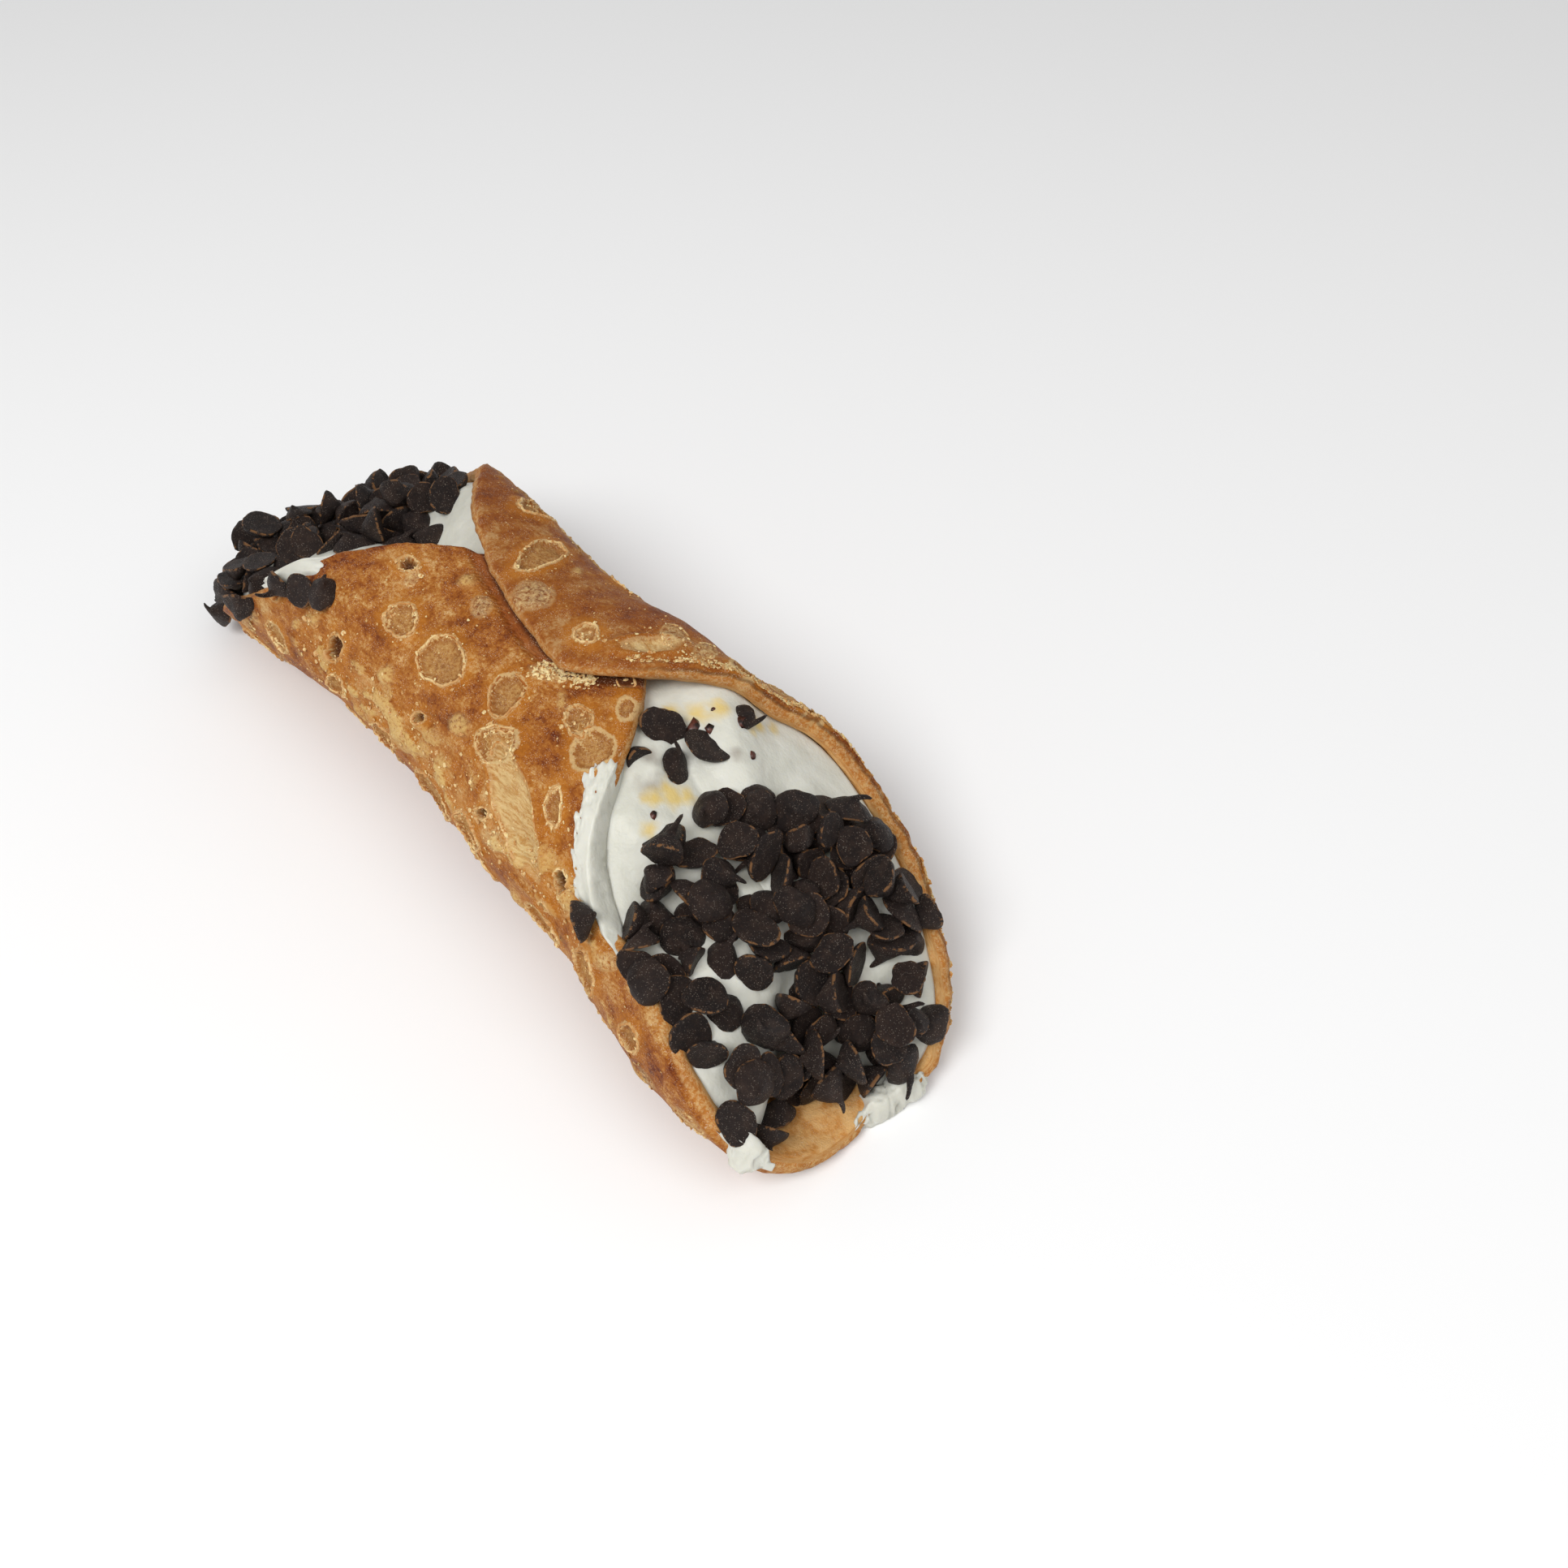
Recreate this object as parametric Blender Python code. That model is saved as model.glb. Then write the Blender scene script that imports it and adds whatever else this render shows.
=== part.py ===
"""A cannolo: a round sheet of dough fried round a tube, so that it has two slanted mouths
and two flaps lapped on top, filled with ricotta cream and heaped with chocolate drops.

Metres, +Z up, the tube along X with its wider-cut mouth at +X. A point of the dough is
named by its place along the tube and its angle round it, 0 at the underside and positive
towards +Y. The origin is at the bottom centre of the bounding box.
"""
import collections
import math

import bmesh
import bpy
import numpy as np

# The fried tube
TUBE_RADIUS = 0.0185
TUBE_OVAL = 1.09  # widened across by this, and flattened by as much
TUBE_ROLL = math.radians(-4.4)
TUBE_BOW = 0.0033  # the middle swings this far towards +Y
BOW_REACH = 0.065
NEAR_TAPER = -0.0010  # change of radius at TAPER_REACH along towards the near mouth
FAR_TAPER = 0.0005
TAPER_REACH = 0.065
NEAR_CURL = 0.0029  # the near mouth's -Y side leans in by this
CURL_REACH = 0.060
WALL = 0.0024
REST_DEPTH = 0.0006  # the underside is flattened by this, where the dough lay
AXIS_HEIGHT = TUBE_RADIUS / TUBE_OVAL - REST_DEPTH

# Swells and dents of the tube: height, place along, angle, half-length, half-angle
SWELLS = (
    (0.0050, 0.042, math.radians(-55), 0.022, math.radians(40)),
    (0.0023, 0.023, math.radians(103), 0.015, math.radians(38)),
    (-0.0016, 0.051, math.radians(64), 0.013, math.radians(35)),
    (-0.0023, -0.015, math.radians(121), 0.016, math.radians(40)),
    (-0.0012, -0.030, math.radians(-60), 0.016, math.radians(45)),
    (0.0006, 0.002, math.radians(-60), 0.010, math.radians(40)),
)

# Shallow unevenness of the fried dough: a long wave and a short one
RIPPLE = 0.00035
LONG_RIPPLE = 0.0060  # along the tube, per radian
SHORT_RIPPLE = 0.0037
SHORT_RIPPLE_SHARE = 0.6  # of the long wave's height

# The outline of the dough sheet
NEAR_REACH = 0.0540
FAR_REACH = 0.0753
FLAP_ANGLE = 3.38  # how far round each flap reaches from the underside, in radians
SHEET_SKEW = 0.0007
NEAR_CORNERS = (-0.26, 0.10)  # how the outline departs from an ellipse
FAR_CORNERS = (-0.13, -0.04)
LAP_FAR_CORNERS = (-0.085, -0.015)  # the +Y flap reaches further at the far mouth
RIM_RIPPLE = 0.007  # share of the reach
RIM_WAVES = 9  # once round the sheet
RIM_PHASE = 1.3
RIM_BULGE = 0.012

# The lap on top: the +Y flap lies over the -Y one
LAP_START = 2.24
LAP_FULL = 2.70
LAP_LIFT = 0.0022
LAP_TUCK = 0.0009
LAP_BLEND = 0.5  # radians from the top over which one flap's edge turns into the other's

# The cream and its two domes
SKIN_GAP = 0.00045  # between the dough and the cream
HEAP_GAP = 0.00050  # between the cream and the drops
NEAR_DOME = 0.0030
FAR_DOME = 0.0033
NEAR_CROWN = 2.4  # exponents: a higher one makes a flatter top and steeper sides
FAR_CROWN = 4.5
FAR_LEAN = 0.17  # the far dome's middle is this share of the mouth's length towards the lip
FAR_TILT = 0.90  # and the dome is this much fuller there
LAP_CREAM_CLEARANCE = math.radians(8)
LAP_CREAM_RAMP = math.radians(20)
LIP_SETBACK = 0.0090  # the cream stops this far behind the near lip
LIP_ANGLE = math.radians(-22)
LIP_SPREAD = math.radians(22)
MOUTH_SETBACK = 0.0008

# The heaped chocolate drops
DROP_RADIUS = 0.0027
DROP_SPACING = 0.0040
DROP_SIZES = (0.85, 1.15)  # smallest and largest, as shares of the radius
DROP_HEIGHTS = (0.5, 1.0)  # lowest and highest, as shares of the heap's height there
DROP_JITTER = 0.3  # share of the spacing
DROP_ROUNDNESS = 0.6  # exponent: a lower one makes a blunter drop
LOWEST_DROP = 0.0012
HEAP_FOOT = 0.0011
HEAP_FILL = 0.9  # drops stop at this share of the heap's ellipse
MOUTH_LIMIT = 0.98  # and the heap at this share of the mouth

# Mesh fineness
SHEET_CELLS = 30
CREAM_SPOKES = 36
CREAM_RINGS = 13
DOME_RINGS = 7
EDGE_STEPS = 181

# Linear colours
FRIED_DOUGH = (0.50, 0.22, 0.07)
RICOTTA = (0.83, 0.82, 0.74)
CHOCOLATE = (0.035, 0.022, 0.018)

Mouth = collections.namedtuple("Mouth", "loop full_loop height crown lean tilt")
# Place and size are shares of the mouth's half-length and half-width
Heap = collections.namedtuple("Heap", "place size tallest cells seed")
NEAR_HEAP = Heap(place=(0.12, 0.02), size=(0.84, 0.92), tallest=0.0035, cells=18, seed=5)
FAR_HEAP = Heap(place=(0.08, 0.0), size=(0.90, 0.92), tallest=0.0025, cells=15, seed=8)


def smooth_step(value):
    """A ramp from 0 to 1 with level ends."""
    clipped = np.clip(value, 0.0, 1.0)
    return clipped * clipped * (3.0 - 2.0 * clipped)


def bump(offset, width):
    """A bell of height 1 and the given half-width."""
    return np.exp(-((offset / width) ** 2))


def tube_radius(along, angle):
    """The outer radius of the dough, before the flaps are lapped."""
    taper = np.where(along > 0, NEAR_TAPER, FAR_TAPER) * (along / TAPER_REACH) ** 2
    lean = np.clip(along / CURL_REACH, 0.0, 1.5) ** 2 * np.clip(-np.sin(angle), 0.0, 1.0)
    radius = TUBE_RADIUS + taper - NEAR_CURL * lean
    for height, place, swell_angle, length, spread in SWELLS:
        radius = radius + height * bump(along - place, length) * bump(angle - swell_angle, spread)
    long_wave = np.sin(along / LONG_RIPPLE + 2.0 * np.sin(angle)) * np.cos(2.0 * angle + 0.7)
    short_wave = np.sin(along / SHORT_RIPPLE + 1.0) * np.sin(3.0 * angle + 0.4)
    return radius + RIPPLE * (long_wave + SHORT_RIPPLE_SHARE * short_wave)


def lap_offset(angle):
    """How far the +Y flap is lifted (positive) or the -Y flap tucked (negative)."""
    share = smooth_step((np.abs(angle) - LAP_START) / (LAP_FULL - LAP_START))
    return np.where(angle > 0, LAP_LIFT, -LAP_TUCK) * share


def tube_point(along, angle, depth):
    """A point of the tube, depth below its outer surface."""
    radius = tube_radius(along, angle) + lap_offset(angle) - depth
    turned = angle + TUBE_ROLL
    across = TUBE_OVAL * radius * np.sin(turned) + TUBE_BOW * (1.0 - (along / BOW_REACH) ** 2)
    height = AXIS_HEIGHT - radius * np.cos(turned) / TUBE_OVAL
    return np.stack([along, across, np.maximum(height, depth)], axis=-1)


def outline_scale(turn, corners):
    """The sheet's reach at a turn of 0 (tube's end) to 90 degrees (flap), against an ellipse's."""
    return 1.0 + corners[0] * np.sin(2.0 * turn) ** 2 + corners[1] * np.sin(4.0 * turn)


def sheet_place(u, v):
    """Place along the tube and angle round it, for a point u, v of the unit disc."""
    turn = np.arctan2(np.abs(v), np.abs(u))
    near = outline_scale(turn, NEAR_CORNERS)
    far = np.where(v > 0, outline_scale(turn, LAP_FAR_CORNERS), outline_scale(turn, FAR_CORNERS))
    whole_turn = np.arctan2(v, u)
    ripple = 1.0 + RIM_RIPPLE * (u * u + v * v) * np.sin(RIM_WAVES * whole_turn + RIM_PHASE)
    scale = np.where(u > 0, near, far) * ripple
    angle = FLAP_ANGLE * scale * v
    along = np.where(u > 0, NEAR_REACH, FAR_REACH) * scale * u - SHEET_SKEW * angle / math.pi
    return along, angle


def disc_grid(cells):
    """A square grid of points spread evenly over the unit disc."""
    line = np.linspace(-1.0, 1.0, cells + 1)
    across, down = np.meshgrid(line, line, indexing="ij")
    u = across * np.sqrt(1.0 - down * down / 2.0)
    v = down * np.sqrt(1.0 - across * across / 2.0)
    return u, v


def border_indices(cells):
    """The grid's border points in order round it."""
    side = cells + 1
    grid = np.arange(side * side).reshape(side, side)
    return list(grid[:-1, 0]) + list(grid[-1, :-1]) + list(grid[:0:-1, -1]) + list(grid[0, :0:-1])


def grid_faces(cells, start=0):
    """Quads between the points of a square grid."""
    side = cells + 1
    faces = []
    for row in range(cells):
        for column in range(cells):
            corner = start + row * side + column
            faces.append((corner, corner + side, corner + side + 1, corner + 1))
    return faces


def ring_faces(first, second):
    """Quads between two closed rows of points."""
    count = len(first)
    faces = []
    for index in range(count):
        after = (index + 1) % count
        faces.append((first[index], first[after], second[after], second[index]))
    return faces


def make_material(name, colour, roughness):
    """A matt food material."""
    material = bpy.data.materials.new(name)
    material.use_nodes = True
    shader = material.node_tree.nodes["Principled BSDF"]
    shader.inputs["Base Color"].default_value = (*colour, 1.0)
    shader.inputs["Roughness"].default_value = roughness
    shader.inputs["Metallic"].default_value = 0.0
    return material


def make_solid(name, points, faces, material):
    """One closed body, its faces pointing out, shaded smooth."""
    mesh = bpy.data.meshes.new(name)
    mesh.from_pydata([tuple(point) for point in points], [], faces)
    work = bmesh.new()
    work.from_mesh(mesh)
    bmesh.ops.recalc_face_normals(work, faces=work.faces)
    bmesh.ops.triangulate(work, faces=work.faces)
    if work.calc_volume(signed=True) < 0.0:
        bmesh.ops.reverse_faces(work, faces=work.faces)
    work.to_mesh(mesh)
    work.free()
    mesh.shade_smooth()
    mesh.materials.append(material)
    solid = bpy.data.objects.new(name, mesh)
    bpy.context.collection.objects.link(solid)
    return solid


def closed_patch(lower, upper, rim, cells):
    """Points and faces of a thin solid between two grids, with one more row round its rim."""
    side = cells + 1
    points = np.concatenate([lower.reshape(-1, 3), upper.reshape(-1, 3), rim])
    border = border_indices(cells)
    under = border
    over = [index + side * side for index in border]
    edge = [2 * side * side + index for index in range(len(border))]
    faces = grid_faces(cells) + [face[::-1] for face in grid_faces(cells, side * side)]
    faces += ring_faces(over, edge) + ring_faces(edge, under)
    return points, faces


def build_shell(material):
    """The fried dough, as thick as WALL, with a rounded rim."""
    u, v = disc_grid(SHEET_CELLS)
    along, angle = sheet_place(u, v)
    outer = tube_point(along, angle, np.zeros_like(along))
    inner = tube_point(along, angle, np.full_like(along, WALL))
    border = border_indices(SHEET_CELLS)
    grown = 1.0 + RIM_BULGE
    rim_along, rim_angle = sheet_place(u.ravel()[border] * grown, v.ravel()[border] * grown)
    rim = tube_point(rim_along, rim_angle, np.full_like(rim_along, WALL / 2.0))
    points, faces = closed_patch(inner, outer, rim, SHEET_CELLS)
    return make_solid("shell", points, faces, material)


def mouth_line(end, angle):
    """Where along the tube the sheet's edge crosses each angle, at the +X or -X end."""
    turn = np.linspace(0.0, math.pi / 2.0, EDGE_STEPS)
    lines = []
    for flap in (1.0, -1.0):
        edge_along, edge_angle = sheet_place(end * np.cos(turn), flap * np.sin(turn))
        lines.append(np.interp(np.abs(angle), np.abs(edge_angle), edge_along))
    share = smooth_step((math.pi - np.abs(angle)) / LAP_BLEND) / 2.0 + 0.5
    own = np.where(angle > 0, lines[0], lines[1])
    other = np.where(angle > 0, lines[1], lines[0])
    return own * share + other * (1.0 - share)


def filling_point(along, angle):
    """A point of the cream's skin, just inside the dough, level where the flaps lap."""
    turn = np.linspace(0.0, math.pi / 2.0, EDGE_STEPS)
    reach = np.zeros_like(along)
    for end in (1.0, -1.0):
        edge_along, edge_angle = sheet_place(end * np.cos(turn), -np.sin(turn))
        order = np.argsort(edge_along)
        found = np.interp(along, edge_along[order], -edge_angle[order], left=0.0, right=0.0)
        reach = np.maximum(reach, found)
    covered = 2.0 * math.pi - np.maximum(reach, math.pi)
    lift_share = smooth_step((covered - LAP_CREAM_CLEARANCE - angle) / LAP_CREAM_RAMP)
    offset = lap_offset(angle)
    top_tuck = -LAP_TUCK * smooth_step((np.abs(angle) - LAP_START) / (LAP_FULL - LAP_START))
    held = np.where(angle > 0, offset * lift_share + top_tuck * (1.0 - lift_share), offset)
    depth = WALL + SKIN_GAP + offset - held
    return tube_point(along, angle, depth)


def cream_skin(spokes, rings):
    """Rows of cream points from the far mouth to the near one, and the two mouths."""
    angle = np.linspace(-math.pi, math.pi, spokes, endpoint=False)
    near_full = mouth_line(1.0, angle) - MOUTH_SETBACK
    near = near_full - LIP_SETBACK * bump(angle - LIP_ANGLE, LIP_SPREAD)
    far = mouth_line(-1.0, angle) + MOUTH_SETBACK
    rows = []
    for share in np.linspace(0.0, 1.0, rings):
        rows.append(filling_point(far + (near - far) * share, angle))
    near_loop = filling_point(near_full, angle)
    near_mouth = Mouth(rows[-1], near_loop, NEAR_DOME, NEAR_CROWN, 0.0, 0.0)
    far_mouth = Mouth(rows[0], rows[0], FAR_DOME, FAR_CROWN, FAR_LEAN, FAR_TILT)
    return rows, far_mouth, near_mouth


def loop_point(loop, spoke):
    """A point of a closed loop, spoke being the share of the way round it."""
    closed = np.vstack([loop, loop[:1]])
    place = spoke * len(loop)
    low = np.floor(place).astype(int) % len(loop)
    share = (place - np.floor(place))[..., None]
    return closed[low] * (1.0 - share) + closed[low + 1] * share


def dome_point(mouth, q, spoke):
    """A point of the cream domed over a mouth, and the way it faces: q is 1 at the loop and 0
    in the middle."""
    loop = mouth.full_loop
    lip = loop[len(loop) // 2]
    centre = loop.mean(axis=0) + (lip - loop[0]) * mouth.lean
    lengthwise = (lip - loop[0]) * np.sign(lip[0])
    normal = np.cross(lengthwise, (0.0, 1.0, 0.0))
    normal /= np.linalg.norm(normal)
    share = q[..., None]
    edge = loop_point(loop, spoke) * (1.0 - share) + loop_point(mouth.loop, spoke) * share
    towards_lip = -np.cos(2.0 * math.pi * spoke) * q
    height = mouth.height * (1.0 - q ** mouth.crown) * (1.0 + mouth.tilt * towards_lip)
    return centre + (edge - centre) * share + normal * height[..., None], normal


def build_cream(material):
    """The ricotta cream that fills the tube and domes out of both mouths."""
    rows, far_mouth, near_mouth = cream_skin(CREAM_SPOKES, CREAM_RINGS)
    spoke = np.arange(CREAM_SPOKES) / CREAM_SPOKES
    shares = np.linspace(1.0, 0.0, DOME_RINGS + 1)[1:-1]
    far_rows = []
    near_rows = []
    for share in shares:
        q = np.full(CREAM_SPOKES, share)
        far_rows.insert(0, dome_point(far_mouth, q, spoke)[0])
        near_rows.append(dome_point(near_mouth, q, spoke)[0])
    middle = np.zeros(1)
    far_tip = dome_point(far_mouth, middle, middle)[0]
    near_tip = dome_point(near_mouth, middle, middle)[0]
    rows = far_rows + rows + near_rows
    points = np.concatenate(rows + [far_tip, near_tip])
    faces = []
    for index in range(len(rows) - 1):
        first = [index * CREAM_SPOKES + step for step in range(CREAM_SPOKES)]
        second = [point + CREAM_SPOKES for point in first]
        faces += ring_faces(first, second)
    last = (len(rows) - 1) * CREAM_SPOKES
    far_index = len(rows) * CREAM_SPOKES
    for step in range(CREAM_SPOKES):
        after = (step + 1) % CREAM_SPOKES
        faces.append((after, step, far_index))
        faces.append((last + step, last + after, far_index + 1))
    return make_solid("cream", points, faces, material)


def heap_height(flat_x, flat_y, drops):
    """The height of the heap over a place: the tallest drop there."""
    height = np.full(flat_x.shape, HEAP_FOOT)
    for centre_x, centre_y, radius, tall in drops:
        distance = np.hypot(flat_x - centre_x, flat_y - centre_y) / radius
        rise = tall * np.clip(1.0 - distance ** 2, 0.0, 1.0) ** DROP_ROUNDNESS
        height = np.maximum(height, HEAP_FOOT + rise)
    return height


def scatter_drops(half_length, half_width, middle_height, seed):
    """Drops on a jittered grid, standing higher in the middle of the heap."""
    random = np.random.default_rng(seed)
    drops = []
    for x in np.arange(-half_length, half_length, DROP_SPACING):
        for y in np.arange(-half_width, half_width, DROP_SPACING):
            jitter = random.uniform(-DROP_JITTER, DROP_JITTER, 2) * DROP_SPACING
            radius = DROP_RADIUS * random.uniform(*DROP_SIZES)
            spread = (x / half_length) ** 2 + (y / half_width) ** 2
            heaped = middle_height * math.sqrt(max(0.0, 1.0 - spread))
            tall = LOWEST_DROP + heaped * random.uniform(*DROP_HEIGHTS)
            if spread < HEAP_FILL:
                drops.append((x + jitter[0], y + jitter[1], radius, tall))
    return drops


def build_drops(name, mouth, heap, material):
    """A heap of drops on the cream domed over a mouth."""
    loop = mouth.loop
    u, v = disc_grid(heap.cells)
    lengthwise = heap.place[0] + heap.size[0] * u
    sideways = heap.place[1] + heap.size[1] * v
    half_length = (loop[:, 0].max() - loop[:, 0].min()) / 2.0 * heap.size[0]
    half_width = (loop[:, 1].max() - loop[:, 1].min()) / 2.0 * heap.size[1]
    q = np.clip(np.hypot(lengthwise, sideways), 0.0, MOUTH_LIMIT)
    spoke = (np.arctan2(sideways, lengthwise) / (2.0 * math.pi) + 0.5) % 1.0
    base, normal = dome_point(mouth, q, spoke)
    drops = scatter_drops(half_length, half_width, heap.tallest, heap.seed)
    thick = heap_height(u * half_length, v * half_width, drops)
    lower = base + normal * HEAP_GAP
    upper = base + normal * (HEAP_GAP + thick)[..., None]
    border = border_indices(heap.cells)
    rim = (lower.reshape(-1, 3)[border] + upper.reshape(-1, 3)[border]) / 2.0
    points, faces = closed_patch(lower, upper, rim, heap.cells)
    return make_solid(name, points, faces, material)


def centre_on_floor(solids):
    """Move every point so that the origin is at the bottom centre of the box."""
    points = np.concatenate([np.array([vertex.co for vertex in solid.data.vertices]) for solid in solids])
    low, high = points.min(axis=0), points.max(axis=0)
    shift = (-(low[0] + high[0]) / 2.0, -(low[1] + high[1]) / 2.0, -low[2])
    for solid in solids:
        for vertex in solid.data.vertices:
            vertex.co.x += shift[0]
            vertex.co.y += shift[1]
            vertex.co.z += shift[2]


def main():
    for old in list(bpy.data.objects):
        bpy.data.objects.remove(old, do_unlink=True)
    dough = make_material("fried_dough", FRIED_DOUGH, 0.6)
    ricotta = make_material("ricotta_cream", RICOTTA, 0.5)
    chocolate = make_material("dark_chocolate", CHOCOLATE, 0.6)
    shell = build_shell(dough)
    cream = build_cream(ricotta)
    far_mouth, near_mouth = cream_skin(CREAM_SPOKES, CREAM_RINGS)[1:]
    near = build_drops("drops_near", near_mouth, NEAR_HEAP, chocolate)
    far = build_drops("drops_far", far_mouth, FAR_HEAP, chocolate)
    centre_on_floor([shell, cream, near, far])


main()
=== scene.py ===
"""The looks of a cannolo that lies on its side: blistered fried dough round ricotta cream,
with dark chocolate drops heaped at both mouths.

Metres, +Z up. A point of the dough is named by its place along the tube and its angle
round it, 0 at the underside and positive towards +Y, as in the solid model.
"""
import collections
import itertools
import math

import bpy
import numpy as np
from mathutils import Euler, Matrix, Vector


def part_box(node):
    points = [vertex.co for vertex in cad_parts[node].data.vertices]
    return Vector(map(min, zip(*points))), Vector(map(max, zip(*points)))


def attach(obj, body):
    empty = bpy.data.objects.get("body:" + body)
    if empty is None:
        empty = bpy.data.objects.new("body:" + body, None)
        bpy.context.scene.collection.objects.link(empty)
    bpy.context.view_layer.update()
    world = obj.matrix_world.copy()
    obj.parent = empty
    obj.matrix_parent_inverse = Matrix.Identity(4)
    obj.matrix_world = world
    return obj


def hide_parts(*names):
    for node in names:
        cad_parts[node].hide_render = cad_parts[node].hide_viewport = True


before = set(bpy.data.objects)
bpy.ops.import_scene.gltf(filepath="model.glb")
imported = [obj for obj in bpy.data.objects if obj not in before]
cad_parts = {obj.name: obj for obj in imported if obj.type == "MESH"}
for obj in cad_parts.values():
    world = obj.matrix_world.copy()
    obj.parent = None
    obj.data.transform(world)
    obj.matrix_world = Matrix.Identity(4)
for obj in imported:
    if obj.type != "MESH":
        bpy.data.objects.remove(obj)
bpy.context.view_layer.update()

bl_info = {
    "name": "Filled Cannolo",
    "version": (1, 0, 0),
    "blender": (4, 5, 0),
    "location": "View3D > Sidebar > Cannolo",
    "description": "Builds a fried dough tube filled with ricotta cream and chocolate drops",
    "category": "Object",
}

MM = 0.001
BODY = "root"

# The fried tube, as in the solid model
TUBE_RADIUS = 0.0185
TUBE_OVAL = 1.09
TUBE_ROLL = math.radians(-4.4)
TUBE_BOW = 0.0033
BOW_REACH = 0.065
NEAR_TAPER = -0.0010
FAR_TAPER = 0.0005
TAPER_REACH = 0.065
NEAR_CURL = 0.0029
CURL_REACH = 0.060
WALL = 0.0024
REST_DEPTH = 0.0006
AXIS_HEIGHT = TUBE_RADIUS / TUBE_OVAL - REST_DEPTH
SWELLS = (  # height, place along, angle, half-length, half-angle
    (0.0050, 0.042, math.radians(-55), 0.022, math.radians(40)),
    (0.0023, 0.023, math.radians(103), 0.015, math.radians(38)),
    (-0.0016, 0.051, math.radians(64), 0.013, math.radians(35)),
    (-0.0023, -0.015, math.radians(121), 0.016, math.radians(40)),
    (-0.0012, -0.030, math.radians(-60), 0.016, math.radians(45)),
    (0.0006, 0.002, math.radians(-60), 0.010, math.radians(40)),
)
RIPPLE = 0.00035
NEAR_REACH = 0.0540
FAR_REACH = 0.0753
FLAP_ANGLE = 3.38
SHEET_SKEW = 0.0007
NEAR_CORNERS = (-0.26, 0.10)
FAR_CORNERS = (-0.13, -0.04)
LAP_FAR_CORNERS = (-0.085, -0.015)
RIM_RIPPLE = 0.007
RIM_BULGE = 0.012
LAP_START = 2.24
LAP_FULL = 2.70
LAP_LIFT = 0.0022
LAP_TUCK = 0.0009
MEAN_REACH = 60.0  # mm, from the middle of the sheet to its rim
SOLID_CELLS = 30  # the solid model's grid, which sets where its box is centred

# The cream, as in the solid model
SKIN_GAP = 0.00015
NEAR_DOME = 0.0030
FAR_DOME = 0.0033
NEAR_CROWN = 2.4
FAR_CROWN = 4.5
FAR_LEAN = 0.17
FAR_TILT = 0.90
LAP_CREAM_CLEARANCE = math.radians(8)
LAP_CREAM_RAMP = math.radians(20)
LIP_SETBACK = 0.0090
LIP_ANGLE = math.radians(-22)
LIP_SPREAD = math.radians(22)
MOUTH_SETBACK = 0.0008

# Fineness of the meshes
DOUGH_CELLS = 264
INNER_CELLS = 132
RIM_ROWS = 4
CREAM_SPOKES = 216
CREAM_RINGS = 40
DOME_RINGS = 60

# Blisters seen on the dough: place along (mm), angle (degrees), half-length and half-width (mm),
# turn of the long axis from the tube's (degrees), kind
BLISTERS = (
    (-24.5, -138, 2.6, 2.1, -10, "ring"),
    (-30.5, -156, 1.4, 1.1, 0, "hole"),
    (-28.5, -153, 1.5, 0.8, 60, "flake"),
    (-22.5, -166, 1.3, 1.0, 0, "dome"),
    (-17.5, -162, 1.7, 1.3, 15, "flake"),
    (-15.0, -137, 3.7, 3.1, 10, "ring"),
    (-21.5, -117, 1.6, 1.3, -35, "dome"),
    (-32.0, -110, 2.2, 1.4, 90, "hole"),
    (-37.5, -114, 1.5, 1.0, -35, "dome"),
    (-40.0, -107, 1.2, 0.8, -40, "dome"),
    (-45.5, -111, 1.2, 0.7, -30, "hole"),
    (-4.0, -144, 2.9, 2.1, 35, "ring"),
    (0.0, -129, 2.9, 2.3, -30, "ring"),
    (7.5, -115, 8.5, 2.7, 38, "torn"),
    (12.0, -127, 2.5, 1.1, 49, "ring"),
    (-6.5, -124, 1.9, 1.5, -30, "dome"),
    (-13.5, -113, 1.2, 0.8, -35, "hole"),
    (3.0, -104, 1.6, 0.7, -40, "hole"),
    (6.0, -99, 2.8, 1.5, -50, "flake"),
    (2.0, -156, 1.4, 0.6, 35, "dome"),
    (-2.5, -160, 2.3, 1.1, -20, "flake"),
    (-11.5, -101, 2.6, 1.1, -45, "dome"),
    (-7.0, -105, 2.2, 1.1, -45, "dome"),
    (-17.0, -97, 1.6, 0.9, -50, "dome"),
    (6.0, -155, 2.2, 1.6, 30, "ring"),
    (10.5, -151, 3.0, 2.4, -10, "ring"),
    (9.0, -170, 1.6, 1.1, 30, "ring"),
    (5.0, -178, 1.2, 1.0, 0, "ring"),
    (18.0, -107, 1.6, 1.2, -75, "hole"),
    (19.5, -102, 2.2, 1.3, -45, "dome"),
    (29.0, -98, 1.9, 1.0, -50, "flake"),
    (-18.5, 169, 3.8, 2.2, 70, "ring"),
    (-12.0, 185, 2.8, 2.0, 20, "flake"),
    (-2.0, 183, 1.7, 1.2, 0, "ring"),
    (-14.0, 163, 1.2, 0.7, 45, "dome"),
    (4.0, 161, 2.4, 1.4, 40, "flake"),
    (4.5, 171, 3.0, 1.2, -50, "torn"),
    (8.0, 156, 2.2, 1.2, 50, "flake"),
)
# How the unseen dough is filled up: how many, half-length from and to (mm), share of each kind
SCATTER = (
    (14, 3.0, 4.4, "ring"),
    (34, 1.8, 2.9, "ring"),
    (34, 1.2, 2.2, "dome"),
    (16, 0.8, 1.5, "hole"),
    (26, 1.2, 2.4, "flake"),
    (70, 0.5, 1.0, "dome"),
)
SCATTER_SEED = 21
BLISTER_GAP = 1.0  # mm kept between the edges of scattered blisters

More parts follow.
